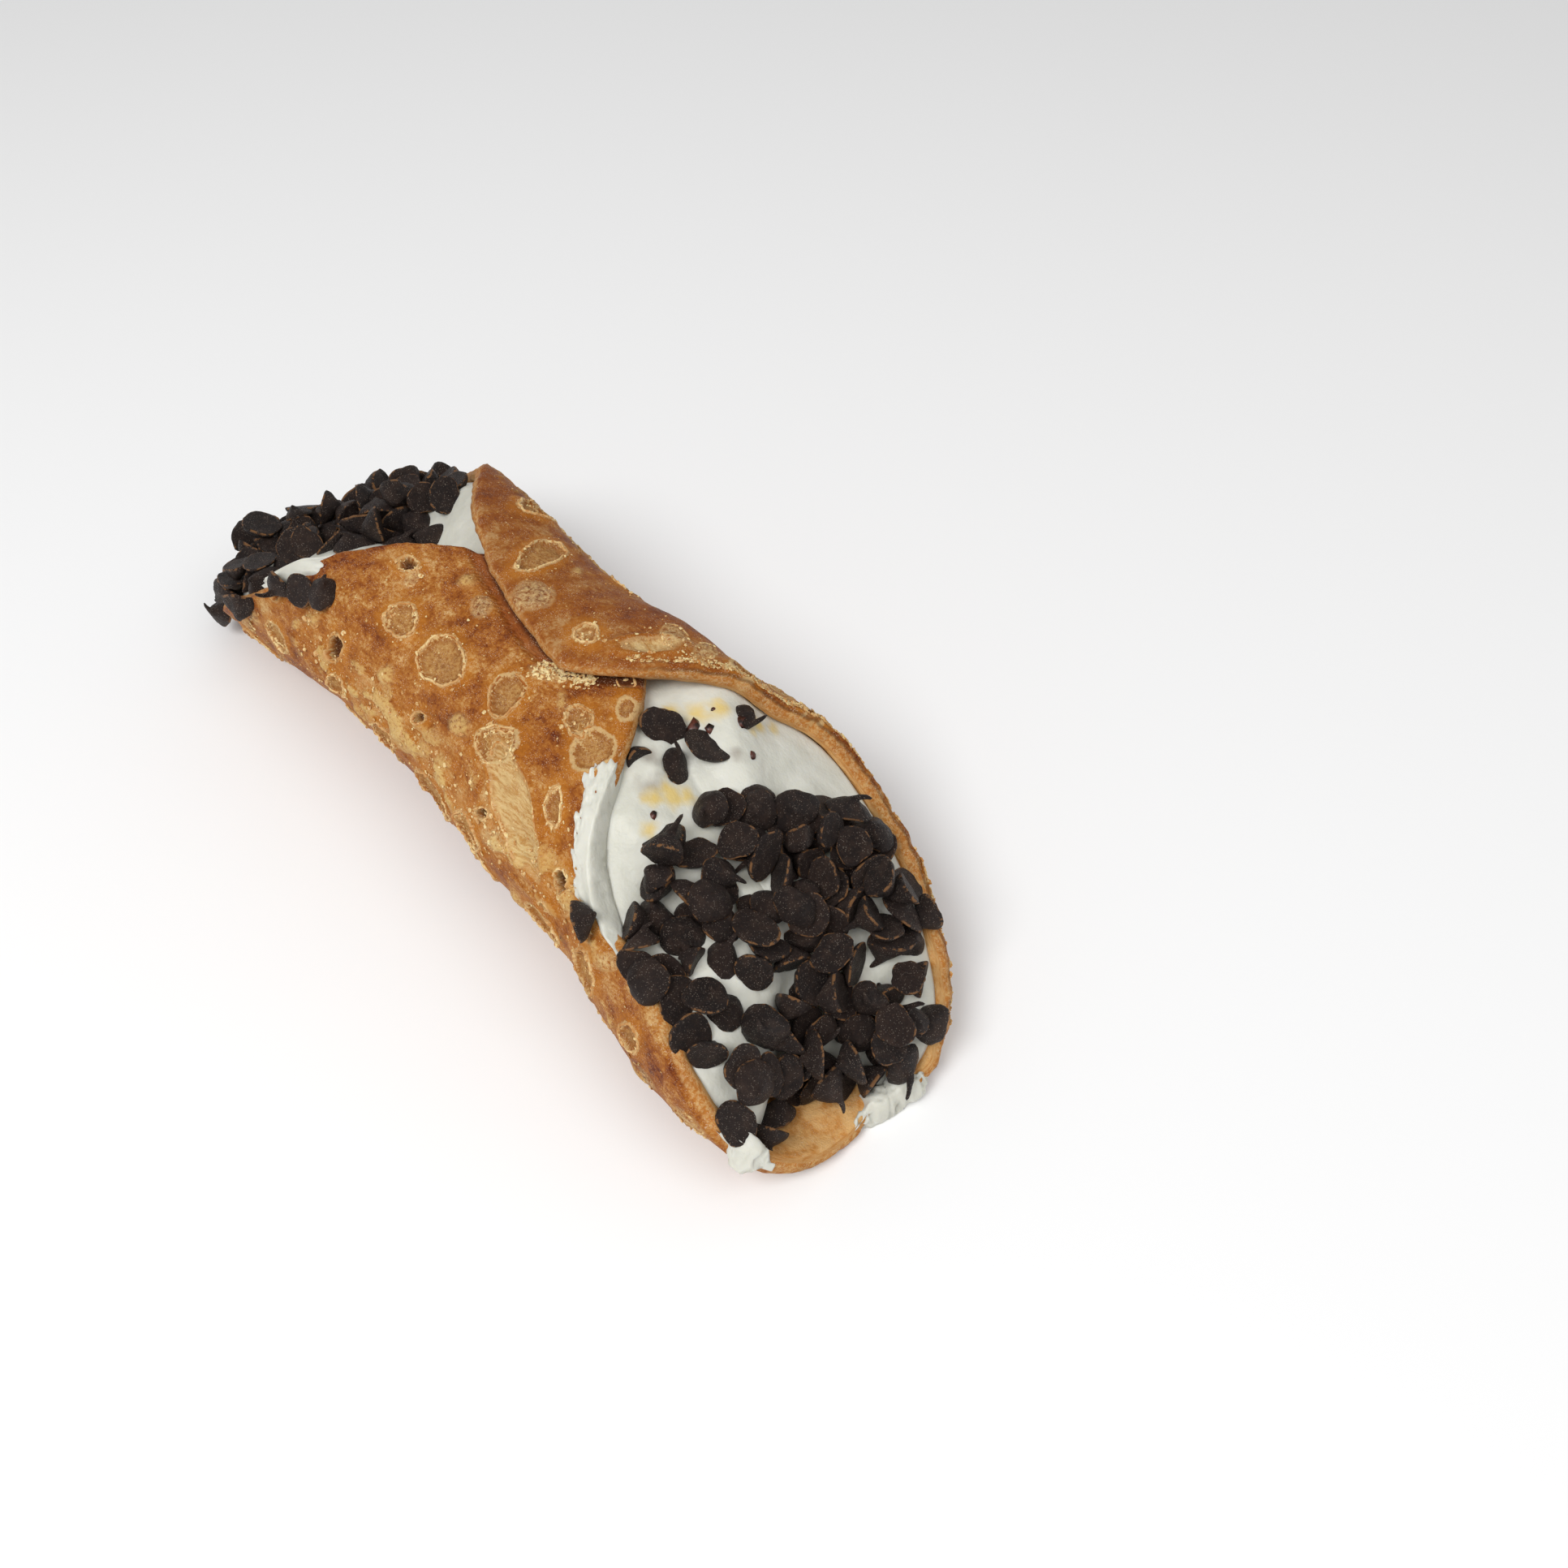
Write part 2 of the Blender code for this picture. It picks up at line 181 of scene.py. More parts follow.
Mouth = collections.namedtuple("Mouth", "loop full_loop height crown lean tilt")
Blister = collections.namedtuple("Blister", "along around length width turn kind seed")


# ---- Numbers ---------------------------------------------------------------------------

def linear(code):
    """An sRGB hex colour as linear red, green and blue."""
    shares = [int(code[at:at + 2], 16) / 255.0 for at in (0, 2, 4)]
    return tuple(c / 12.92 if c <= 0.04045 else ((c + 0.055) / 1.055) ** 2.4 for c in shares)


def smooth_step(value):
    """A ramp from 0 to 1 with level ends."""
    clipped = np.clip(value, 0.0, 1.0)
    return clipped * clipped * (3.0 - 2.0 * clipped)


def bump(offset, width):
    """A bell of height 1 and the given half-width."""
    return np.exp(-((offset / width) ** 2))


def lattice(cells, seed):
    """A fixed pseudo-random value from -1 to 1 for each whole-number place."""
    value = cells[..., 0] * 374761393 + cells[..., 1] * 668265263 + cells[..., 2] * 1440662683
    value = (value + seed * 1013904223) & 0xFFFFFFFF
    value = ((value ^ (value >> 13)) * 1274126177) & 0xFFFFFFFF
    value = ((value ^ (value >> 16)) * 2246822519) & 0xFFFFFFFF
    return ((value >> 8) & 0xFFFF) / 32767.5 - 1.0


def soft_noise(points, size, seed):
    """Smooth noise from -1 to 1 whose lumps are about size across."""
    scaled = points / size
    cells = np.floor(scaled).astype(np.int64)
    part = smooth_step(scaled - cells)
    total = np.zeros(points.shape[:-1])
    for corner in itertools.product((0, 1), repeat=3):
        weight = np.ones(points.shape[:-1])
        for axis in range(3):
            share = part[..., axis]
            weight = weight * (share if corner[axis] else 1.0 - share)
        total += weight * lattice(cells + np.array(corner), seed)
    return total


# ---- The sheet of dough -----------------------------------------------------------------

def tube_radius(along, angle):
    """The outer radius of the dough, before the flaps are lapped."""
    taper = np.where(along > 0, NEAR_TAPER, FAR_TAPER) * (along / TAPER_REACH) ** 2
    lean = np.clip(along / CURL_REACH, 0.0, 1.5) ** 2 * np.clip(-np.sin(angle), 0.0, 1.0)
    radius = TUBE_RADIUS + taper - NEAR_CURL * lean
    for height, place, swell_angle, length, spread in SWELLS:
        radius = radius + height * bump(along - place, length) * bump(angle - swell_angle, spread)
    waves = np.sin(along / 0.0060 + 2.0 * np.sin(angle)) * np.cos(2.0 * angle + 0.7)
    waves = waves + 0.6 * np.sin(along / 0.0037 + 1.0) * np.sin(3.0 * angle + 0.4)
    return radius + RIPPLE * waves


def lap_offset(angle):
    """How far the +Y flap is lifted (positive) or the -Y flap tucked (negative)."""
    share = smooth_step((np.abs(angle) - LAP_START) / (LAP_FULL - LAP_START))
    return np.where(angle > 0, LAP_LIFT, -LAP_TUCK) * share


def tube_point(along, angle, depth):
    """A point of the tube, depth below its outer surface."""
    radius = tube_radius(along, angle) + lap_offset(angle) - depth
    turned = angle + TUBE_ROLL
    across = TUBE_OVAL * radius * np.sin(turned) + TUBE_BOW * (1.0 - (along / BOW_REACH) ** 2)
    height = AXIS_HEIGHT - radius * np.cos(turned) / TUBE_OVAL
    return np.stack([along, across, np.maximum(height, np.clip(depth, 0.0, None))], axis=-1)


def outline_scale(turn, corners):
    """The sheet's reach at a turn of 0 (tube's end) to 90 degrees (flap), against an ellipse's."""
    return 1.0 + corners[0] * np.sin(2.0 * turn) ** 2 + corners[1] * np.sin(4.0 * turn)


def sheet_place(u, v):
    """Place along the tube and angle round it, for a point u, v of the unit disc."""
    turn = np.arctan2(np.abs(v), np.abs(u))
    near = outline_scale(turn, NEAR_CORNERS)
    far = np.where(v > 0, outline_scale(turn, LAP_FAR_CORNERS), outline_scale(turn, FAR_CORNERS))
    whole_turn = np.arctan2(v, u)
    ripple = 1.0 + RIM_RIPPLE * (u * u + v * v) * np.sin(9.0 * whole_turn + 1.3)
    scale = np.where(u > 0, near, far) * ripple
    angle = FLAP_ANGLE * scale * v
    along = np.where(u > 0, NEAR_REACH, FAR_REACH) * scale * u - SHEET_SKEW * angle / math.pi
    return along, angle


def rim_distance(along, angle):
    """How far a place lies from the sheet's rim, in millimetres of the mean reach."""
    level = along + SHEET_SKEW * angle / math.pi
    u = level / np.where(level > 0, NEAR_REACH, FAR_REACH)
    v = angle / FLAP_ANGLE
    turn = np.arctan2(np.abs(v), np.abs(u))
    far = np.where(v > 0, outline_scale(turn, LAP_FAR_CORNERS), outline_scale(turn, FAR_CORNERS))
    scale = np.where(u > 0, outline_scale(turn, NEAR_CORNERS), far)
    return (1.0 - np.hypot(u, v) / scale) * MEAN_REACH


def disc_grid(cells):
    """A square grid of points spread evenly over the unit disc."""
    line = np.linspace(-1.0, 1.0, cells + 1)
    across, down = np.meshgrid(line, line, indexing="ij")
    u = across * np.sqrt(1.0 - down * down / 2.0)
    v = down * np.sqrt(1.0 - across * across / 2.0)
    return u, v


def border_indices(cells):
    """The grid's border points in order round it."""
    side = cells + 1
    grid = np.arange(side * side).reshape(side, side)
    return list(grid[:-1, 0]) + list(grid[-1, :-1]) + list(grid[:0:-1, -1]) + list(grid[0, :0:-1])


def find_shift():
    """From the tube's own frame to the frame of the solid model, whose box is centred."""
    u, v = disc_grid(SOLID_CELLS)
    along, angle = sheet_place(u, v)
    border = border_indices(SOLID_CELLS)
    rim_along, rim_angle = sheet_place(
        u.ravel()[border] * (1.0 + RIM_BULGE), v.ravel()[border] * (1.0 + RIM_BULGE)
    )
    outer = tube_point(along, angle, 0.0 * along).reshape(-1, 3)
    rim = tube_point(rim_along, rim_angle, 0.0 * rim_along + WALL / 2.0)
    points = np.concatenate([outer, rim])
    return np.array(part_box("shell")[0]) - points.min(axis=0)


SHIFT = find_shift()


def grid_faces(cells, start=0, flip=False):
    """Quads between the points of a square grid."""
    side = cells + 1
    corner = (start + np.arange(cells)[:, None] * side + np.arange(cells)[None, :]).ravel()
    loops = [corner, corner + side, corner + side + 1, corner + 1]
    if flip:
        loops = loops[::-1]
    return np.stack(loops, axis=1).tolist()


def ring_faces(first, second):
    """Quads between two closed rows of points."""
    first = np.asarray(first)
    second = np.asarray(second)
    return np.stack([first, np.roll(first, -1), np.roll(second, -1), second], axis=1).tolist()


def stitch_faces(fine, coarse):
    """Triangles between a closed row and one with half as many points."""
    faces = []
    count = len(coarse)
    for index in range(count):
        after = (index + 1) % count
        low, middle, high = fine[2 * index], fine[2 * index + 1], fine[(2 * index + 2) % len(fine)]
        faces.append((low, middle, coarse[index]))
        faces.append((middle, coarse[after], coarse[index]))
        faces.append((middle, high, coarse[after]))
    return faces


def make_piece(name, points, faces, material, fields=None):
    """A smooth-shaded mesh object, with one number a point for each named field."""
    earlier = bpy.data.objects.get(name)
    if earlier:
        bpy.data.objects.remove(earlier, do_unlink=True)
    mesh = bpy.data.meshes.new(name)
    mesh.from_pydata(np.asarray(points).tolist(), [], faces)
    mesh.shade_smooth()
    for label, values in (fields or {}).items():
        values = np.asarray(values, dtype=np.float32)
        kind, key = ("FLOAT_VECTOR", "vector") if values.ndim == 2 else ("FLOAT", "value")
        mesh.attributes.new(label, kind, "POINT").data.foreach_set(key, values.ravel())
    mesh.materials.append(material)
    piece = bpy.data.objects.new(name, mesh)
    bpy.context.collection.objects.link(piece)
    return piece


# ---- Blisters ---------------------------------------------------------------------------

def sheet_mm(along, angle):
    """Flat coordinates on the dough in millimetres: along the tube and round it."""
    return along / MM, angle * TUBE_RADIUS / MM


def blister_list():
    """Every blister, in sheet millimetres: those seen, then others scattered over the unseen dough."""
    found = []
    for along, degrees, length, width, turn, kind in BLISTERS:
        around = math.radians(degrees) * TUBE_RADIUS / MM
        found.append(Blister(along, around, length, width, math.radians(turn), kind, len(found)))
    random = np.random.default_rng(SCATTER_SEED)
    for count, smallest, largest, kind in SCATTER:
        placed = 0
        for _ in range(count * 60):
            if placed == count:
                break
            u, v = random.uniform(-1.0, 1.0, 2)
            if u * u + v * v > 0.96:
                continue
            place, angle = sheet_place(np.array(u), np.array(v))
            along, around = sheet_mm(float(place), float(angle))
            length = random.uniform(smallest, largest)
            turn = random.uniform(0.0, math.pi)
            width = length * random.uniform(0.62, 0.95)
            if shown_by_hand(along, float(angle)):
                continue
            free = all(
                math.hypot(along - b.along, around - b.around) > length + b.length * 0.8 + BLISTER_GAP
                for b in found
            )
            if free:
                found.append(Blister(along, around, length, width, turn, kind, len(found)))
                placed += 1
    return found


def shown_by_hand(along, angle):
    """Whether a place lies where every blister is listed one by one."""
    degrees = math.degrees(angle)
    left = -46.0 < along < 24.0 and -172.0 < degrees < -95.0
    top = -30.0 < along < 10.0 and degrees > 160.0
    return left or top


def wobble(way, seed):
    """How far a blister's edge wanders in and out, as a share of its size."""
    slow = 0.09 * np.sin(2.0 * way + seed * 1.7) + 0.06 * np.sin(3.0 * way + seed * 2.9)
    return slow + 0.035 * np.sin(7.0 * way + seed * 0.6)


def blister_edge(along, around, blister):
    """Distance outwards from a blister's wavy edge, in millimetres."""
    x = along - blister.along
    y = around - blister.around
    lengthwise = x * math.cos(blister.turn) + y * math.sin(blister.turn)
    sideways = y * math.cos(blister.turn) - x * math.sin(blister.turn)
    reach = np.hypot(lengthwise / blister.length, sideways / blister.width)
    way = np.arctan2(sideways / blister.width, lengthwise / blister.length)
    size = math.sqrt(blister.length * blister.width)
    return (reach - 1.0 - wobble(way, blister.seed)) * size


RIM_STRENGTH = {"ring": 1.0, "hole": 0.8, "flake": 0.35, "torn": 0.55, "dome": 0.12}


def blister_fields(along, around, blisters):
    """Height of the blisters in mm, and the fields that colour them."""
    height = np.zeros(along.shape)
    edge = np.full(along.shape, 4.0)
    strength = np.zeros(along.shape)
    masks = {kind: np.zeros(along.shape) for kind in ("ring", "dome", "hole", "flake", "torn")}
    place = np.stack([along, around, 0.0 * along], axis=-1)
    rough = soft_noise(place, 0.9, 3)
    for blister in blisters:
        kind = blister.kind
        size = math.sqrt(blister.length * blister.width)
        near = np.hypot(along - blister.along, around - blister.around) < blister.length * 1.3 + 2.5
        if not near.any():
            continue
        distance = blister_edge(along[near], around[near], blister)
        grain = rough[near]
        inside = smooth_step(-distance / 0.55)
        lift = min(1.0, size / 2.2)
        if kind == "ring":
            rim = 0.16 * lift * bump(distance + 0.1, 0.42) * (1.0 + 0.6 * grain)
            floor = -0.30 * lift * smooth_step(-(distance + 0.15) / 0.5)
            skirt = 0.20 * np.clip(1.0 - np.clip(distance, 0.0, None) / 1.8, 0.0, 1.0)
            shape = rim + floor + skirt * (1.0 - inside) + 0.10 * grain * inside
        elif kind == "dome":
            round_top = np.clip(-distance / size, 0.0, 1.0)
            shape = np.minimum((0.30 * size + 0.10) * np.sqrt(round_top), 0.50)
        elif kind == "hole":
            rim = 0.22 * bump(distance - 0.1, 0.42) * (1.0 + 0.5 * grain)
            shape = rim - 1.1 * smooth_step(-distance / 0.7) * min(1.0, size / 1.1)
        elif kind == "flake":
            shape = 0.20 * inside * (0.5 + 1.6 * np.abs(grain)) + 0.08 * bump(distance, 0.5)
        else:
            rim = 0.50 * bump(distance - 0.7, 0.9)
            shape = rim - 0.30 * smooth_step(-distance / 1.1) + 0.08 * grain * inside
        height[near] += shape
        masks[kind][near] = np.maximum(masks[kind][near], inside)
        kept = edge[near]
        closer = np.abs(distance) < np.abs(kept)
        edge[near] = np.where(closer, distance, kept)
        strength[near] = np.where(closer, RIM_STRENGTH[kind], strength[near])
    masks["rim_strength"] = strength
    return height, edge, masks


# ---- Fried dough ------------------------------------------------------------------------

def flap_reach(along, flap, end_spokes=361):
    """The greatest angle that a flap reaches at each place along the tube."""
    turn = np.linspace(0.0, math.pi / 2.0, end_spokes)
    reach = np.zeros_like(along)
    for end in (1.0, -1.0):
        edge_along, edge_angle = sheet_place(end * np.cos(turn), flap * np.sin(turn))
        order = np.argsort(edge_along)
        found = np.interp(along, edge_along[order], np.abs(edge_angle)[order], left=0.0, right=0.0)
        reach = np.maximum(reach, found)
    return reach


def outward(along, angle):
    """The way the tube's surface faces."""
    step = 1e-4
    lengthwise = tube_point(along + step, angle, 0.0 * along) - tube_point(along - step, angle, 0.0 * along)
    turned = angle + TUBE_ROLL
    round_way = np.stack([0.0 * along, TUBE_OVAL * np.cos(turned), np.sin(turned) / TUBE_OVAL], axis=-1)
    normal = np.cross(round_way, lengthwise)
    normal = normal / np.linalg.norm(normal, axis=-1, keepdims=True)
    radial = np.stack([0.0 * along, np.sin(turned), -np.cos(turned)], axis=-1)
    facing = np.sum(normal * radial, axis=-1, keepdims=True)
    return np.where(facing < 0.0, -normal, normal)


def ragged(u, v):
    """The disc's points, the ones near its rim pushed in and out where the dough crumbled."""
    reach = np.hypot(u, v)
    place = np.stack([u * 60.0, v * 60.0, 0.0 * u], axis=-1)
    notch = 0.55 * soft_noise(place, 3.2, 11) + 0.40 * soft_noise(place, 1.2, 12)
    share = smooth_step((reach - 0.955) / 0.045)
    crumbled = 0.45 + 0.55 * smooth_step(v * 3.0) * smooth_step(u * 3.0)
    scale = 1.0 + 0.011 * notch * share * crumbled
    return u * scale, v * scale


def dough_height(along, angle, blisters):
    """Height of the fried surface over the plain tube, in mm, and the fields that colour it."""
    along_mm, around_mm = sheet_mm(along, angle)
    degrees = np.degrees(angle)
    rim_mm = rim_distance(along, angle)
    height, edge, fields = blister_fields(along_mm, around_mm, blisters)
    place = np.stack([along_mm, around_mm, 0.0 * along], axis=-1)
    # A paler band low on the -Y side: partly where the dough boiled into froth, partly painted light on the side that
    # faces the key lamp.
    pale = bump(degrees + 101.0, 15.0) * smooth_step((along_mm + 46.0) / 12.0)
    pale = pale * (1.0 - smooth_step((along_mm - 20.0) / 15.0))
    swell = 0.16 * soft_noise(place, 7.0, 5) + 0.09 * soft_noise(place, 2.6, 6)
    drawn = place * (0.62, 1.0, 1.0)
    lumps = soft_noise(drawn, 2.1, 9) + 0.45 * soft_noise(drawn, 1.0, 14)
    boil = smooth_step((lumps + 0.05) / 0.55) * np.clip(1.2 * pale, 0.0, 1.0)
    crumb = smooth_step((degrees - 40.0) / 50.0) * smooth_step((along_mm - 2.0) / 10.0)
    crumbled = soft_noise(place, 1.1, 8) * (1.0 - smooth_step(rim_mm / 3.0)) * crumb
    height = (height + swell + 0.60 * boil) * smooth_step(rim_mm / 2.0)
    height = height + 0.06 * soft_noise(place, 1.0, 7) + 0.30 * crumbled
    lap_edge = (2.0 * math.pi + angle - flap_reach(along, 1.0)) * TUBE_RADIUS / MM
    under = (angle < 0.0) & (lap_edge < 9.0)
    groove_width = 1.9 - 0.9 * smooth_step((along_mm + 8.0) / 9.0) + 0.5 * soft_noise(place, 6.0, 10)
    groove = np.where(under, 1.0 - smooth_step((lap_edge - groove_width) / 0.6), 0.0)
    height = height * (1.0 - 0.8 * groove) - 0.35 * groove * smooth_step(lap_edge / 1.5)
    fields.update({
        "blister_edge": edge, "rim_mm": rim_mm, "groove": groove, "pale": pale, "boil": boil,
        # painted shade: the +Y flap darkens from 120 to 160 degrees round the tube
        "toast": smooth_step((degrees - 120.0) / 40.0), "crumb": crumb,
        "lap_edge": np.where(angle < 0.0, np.clip(lap_edge, -4.0, 6.0), 6.0),
        "cut": 0.0 * along,
    })
    return height, fields, place * MM


def on_dough(along, angle, height):
    """A point of the tube's outer side, raised by height in mm."""
    points = tube_point(along, angle, 0.0 * along) + outward(along, angle) * (height * MM)[..., None]
    points[..., 2] = np.maximum(points[..., 2], 0.0)
    return points


def dough_surface(cells, blisters):
    """Points of the fried dough's outer side, and its fields."""
    along, angle = sheet_place(*ragged(*disc_grid(cells)))
    height, fields, sheet = dough_height(along, angle, blisters)
    return on_dough(along, angle, height), fields, sheet


def build_dough(material, blisters):
    """The fried dough: a fine outer side, a crumbled rim and a plain inner side."""
    outer, fields, sheet = dough_surface(DOUGH_CELLS, blisters)
    u, v = disc_grid(INNER_CELLS)
    u, v = ragged(u, v)
    along, angle = sheet_place(u, v)
    inner = tube_point(along, angle, 0.0 * along + WALL)
    place = inner / MM
    inner_sheet = np.stack(sheet_mm(along, angle) + (0.0 * along - 9.0,), axis=-1) * MM
    inner = inner - outward(along, angle) * (0.12 * soft_noise(place, 2.0, 15) * MM)[..., None]
    border = border_indices(DOUGH_CELLS)
    fine_u, fine_v = disc_grid(DOUGH_CELLS)
    fine_u, fine_v = ragged(fine_u, fine_v)
    rim_u, rim_v = fine_u.ravel()[border], fine_v.ravel()[border]
    top = outer.reshape(-1, 3)[border]
    low_along, low_angle = sheet_place(rim_u, rim_v)
    bottom = tube_point(low_along, low_angle, 0.0 * low_along + WALL)
    rows = []
    for row in range(1, RIM_ROWS + 1):
        share = row / (RIM_ROWS + 1)
        bulge = 1.0 + RIM_BULGE * math.sin(math.pi * share)
        rim_along, rim_angle = sheet_place(rim_u * bulge, rim_v * bulge)
        middle = tube_point(rim_along, rim_angle, 0.0 * rim_along + WALL * share)
        chord = top * (1.0 - share) + bottom * share
        level = tube_point(low_along, low_angle, 0.0 * low_along + WALL * share)
        points = chord + (middle - level)
        crumbs = soft_noise(points / MM, 0.9, 20 + row) + 0.6 * soft_noise(points / MM, 0.45, 30 + row)
        facing = outward(rim_along, rim_angle)
        points = points + facing * (0.07 * crumbs * MM)[:, None]
        outwards = (middle - level) / np.linalg.norm(middle - level, axis=-1, keepdims=True)
        layer = math.cos(3.0 * math.pi * share)
        points = points + outwards * ((0.08 * crumbs + 0.10 * layer) * MM)[:, None]
        points[:, 2] = np.maximum(points[:, 2], 0.0)
        rows.append(points)
    points = np.concatenate([outer.reshape(-1, 3)] + rows + [inner.reshape(-1, 3)])
    outer_count = (DOUGH_CELLS + 1) ** 2
    around = len(border)
    faces = grid_faces(DOUGH_CELLS, 0, flip=True)
    loops = [border]
    for row in range(RIM_ROWS):
        loops.append(list(range(outer_count + row * around, outer_count + (row + 1) * around)))
    for first, second in zip(loops[:-1], loops[1:]):
        faces += ring_faces(first, second)
    inner_start = outer_count + RIM_ROWS * around
    faces += grid_faces(INNER_CELLS, inner_start)
    inner_border = [inner_start + index for index in border_indices(INNER_CELLS)]
    faces += stitch_faces(loops[-1], inner_border)
    whole = {}
    inner_values = {"blister_edge": 4.0, "rim_mm": 9.0, "lap_edge": 6.0, "cut": 1.0}
    for label, values in fields.items():
        on_rim = np.tile(values.ravel()[border], RIM_ROWS)
        if label == "cut":
            on_rim = np.repeat(np.arange(1, RIM_ROWS + 1) / (RIM_ROWS + 1), around)
        within = np.full(inner.size // 3, inner_values.get(label, 0.0))
        whole[label] = np.concatenate([values.ravel(), on_rim, within])
    rim_sheet = np.concatenate([sheet.reshape(-1, 3)[border] - (0.0, 0.0, row * WALL / 4.0)
                                for row in range(1, RIM_ROWS + 1)])
    whole["sheet"] = np.concatenate([sheet.reshape(-1, 3), rim_sheet, inner_sheet.reshape(-1, 3)])
    return make_piece("fried_dough", points + SHIFT, faces, material, whole)


# ---- Ridges and crumbs of dry dough -----------------------------------------------------

RIDGES = {  # height of the torn ridge round each kind of blister (mm), share of it that is gone
    "ring": (0.40, 0.28), "hole": (0.40, 0.12), "torn": (0.34, 0.50), "flake": (0.28, 0.45),
}
RIDGE_ROWS = (  # place across the ridge (mm), share of its height
    (-0.28, 0.0), (-0.12, 0.55), (-0.04, 1.0), (0.06, 0.95), (0.14, 0.50), (0.30, 0.0),
)
RIDGE_STEP = 0.15  # mm between points along a ridge
RIDGE_FOOT = 0.10  # mm that its feet stand in the dough
SECOND_RIDGE = -0.60  # mm from the first, on every third ring
RIM_CLEARANCE = 0.6  # mm from the sheet's rim, where a ridge would hang in the air


def ridge_line(blister, inset, seed):
    """Sheet places along a blister's edge (mm), the way out from it, and the ridge's height."""
    tall, gone = RIDGES[blister.kind]
    size = math.sqrt(blister.length * blister.width)
    girth = 2.0 * math.pi * math.hypot(blister.length, blister.width) / math.sqrt(2.0)
    way = np.linspace(0.0, 2.0 * math.pi, int(girth / RIDGE_STEP), endpoint=False)
    reach = 1.0 + wobble(way, blister.seed) + inset / size
    x = reach * blister.length * np.cos(way)
    y = reach * blister.width * np.sin(way)
    along = blister.along + x * math.cos(blister.turn) - y * math.sin(blister.turn)
    around = blister.around + x * math.sin(blister.turn) + y * math.cos(blister.turn)
    place = np.stack([along, around, np.full(len(way), 7.0 * blister.seed)], axis=-1)
    wander = 0.16 * soft_noise(place, 0.8, seed) + 0.08 * soft_noise(place, 0.32, seed + 1)
    step = np.roll(place, -1, axis=0) - np.roll(place, 1, axis=0)
    out = np.stack([step[:, 1], -step[:, 0]], axis=-1)
    out = out / np.linalg.norm(out, axis=-1, keepdims=True)
    standing = smooth_step((soft_noise(place, 2.4, seed + 2) * 0.5 + 0.5 - gone) / 0.16)
    jagged = 0.62 + 0.38 * soft_noise(place, 0.45, seed + 3) + 0.15 * soft_noise(place, 0.2, seed + 4)
    height = tall * min(1.0, 0.55 + size / 5.0) * jagged * standing
    return place[:, :2] + out * wander[:, None], out, height


def build_ridges(material, blisters):
    """The thin, pale, broken ridges that burst blisters leave standing on the dough."""
    places = []
    heights = []
    crests = []
    faces = []
    total = 0
    for blister in blisters:
        if blister.kind not in RIDGES:
            continue
        lines = [ridge_line(blister, 0.0, 60)]
        if blister.kind == "ring" and blister.seed % 3 == 0:
            lines.append(ridge_line(blister, SECOND_RIDGE, 70))
        for line, out, height in lines:
            if rim_distance(line[:, 0] * MM, line[:, 1] * MM / TUBE_RADIUS).min() < RIM_CLEARANCE:
                continue
            for across, share in RIDGE_ROWS:
                places.append(line + out * across)
                heights.append(height * share - RIDGE_FOOT)
                crests.append(np.full(len(line), share) * np.clip(height / 0.2, 0.0, 1.0))
            for row in range(len(RIDGE_ROWS) - 1):
                first = total + row * len(line) + np.arange(len(line))
                faces += ring_faces(first, first + len(line))
            total += len(RIDGE_ROWS) * len(line)
    place = np.concatenate(places)
    along = place[:, 0] * MM
    angle = place[:, 1] * MM / TUBE_RADIUS
    base, _, _ = dough_height(along, angle, blisters)
    points = on_dough(along, angle, base + np.concatenate(heights))
    fields = {"crest": np.concatenate(crests), "tint": 0.5 + 0.5 * soft_noise(points / MM, 2.0, 75)}
    return make_piece("blister_ridges", points + SHIFT, faces, material, fields), place


CRUMB_CORNERS = (  # an icosahedron
    (0.0, 0.0, 1.0), (0.894, 0.0, 0.447), (0.276, 0.851, 0.447), (-0.724, 0.526, 0.447),
    (-0.724, -0.526, 0.447), (0.276, -0.851, 0.447), (0.724, 0.526, -0.447), (-0.276, 0.851, -0.447),
    (-0.894, 0.0, -0.447), (-0.276, -0.851, -0.447), (0.724, -0.526, -0.447), (0.0, 0.0, -1.0),
)
CRUMB_FACES = (
    (0, 1, 2), (0, 2, 3), (0, 3, 4), (0, 4, 5), (0, 5, 1), (1, 6, 2), (2, 7, 3), (3, 8, 4), (4, 9, 5),
    (5, 10, 1), (6, 7, 2), (7, 8, 3), (8, 9, 4), (9, 10, 5), (10, 6, 1), (11, 7, 6), (11, 8, 7),
    (11, 9, 8), (11, 10, 9), (11, 6, 10),
)


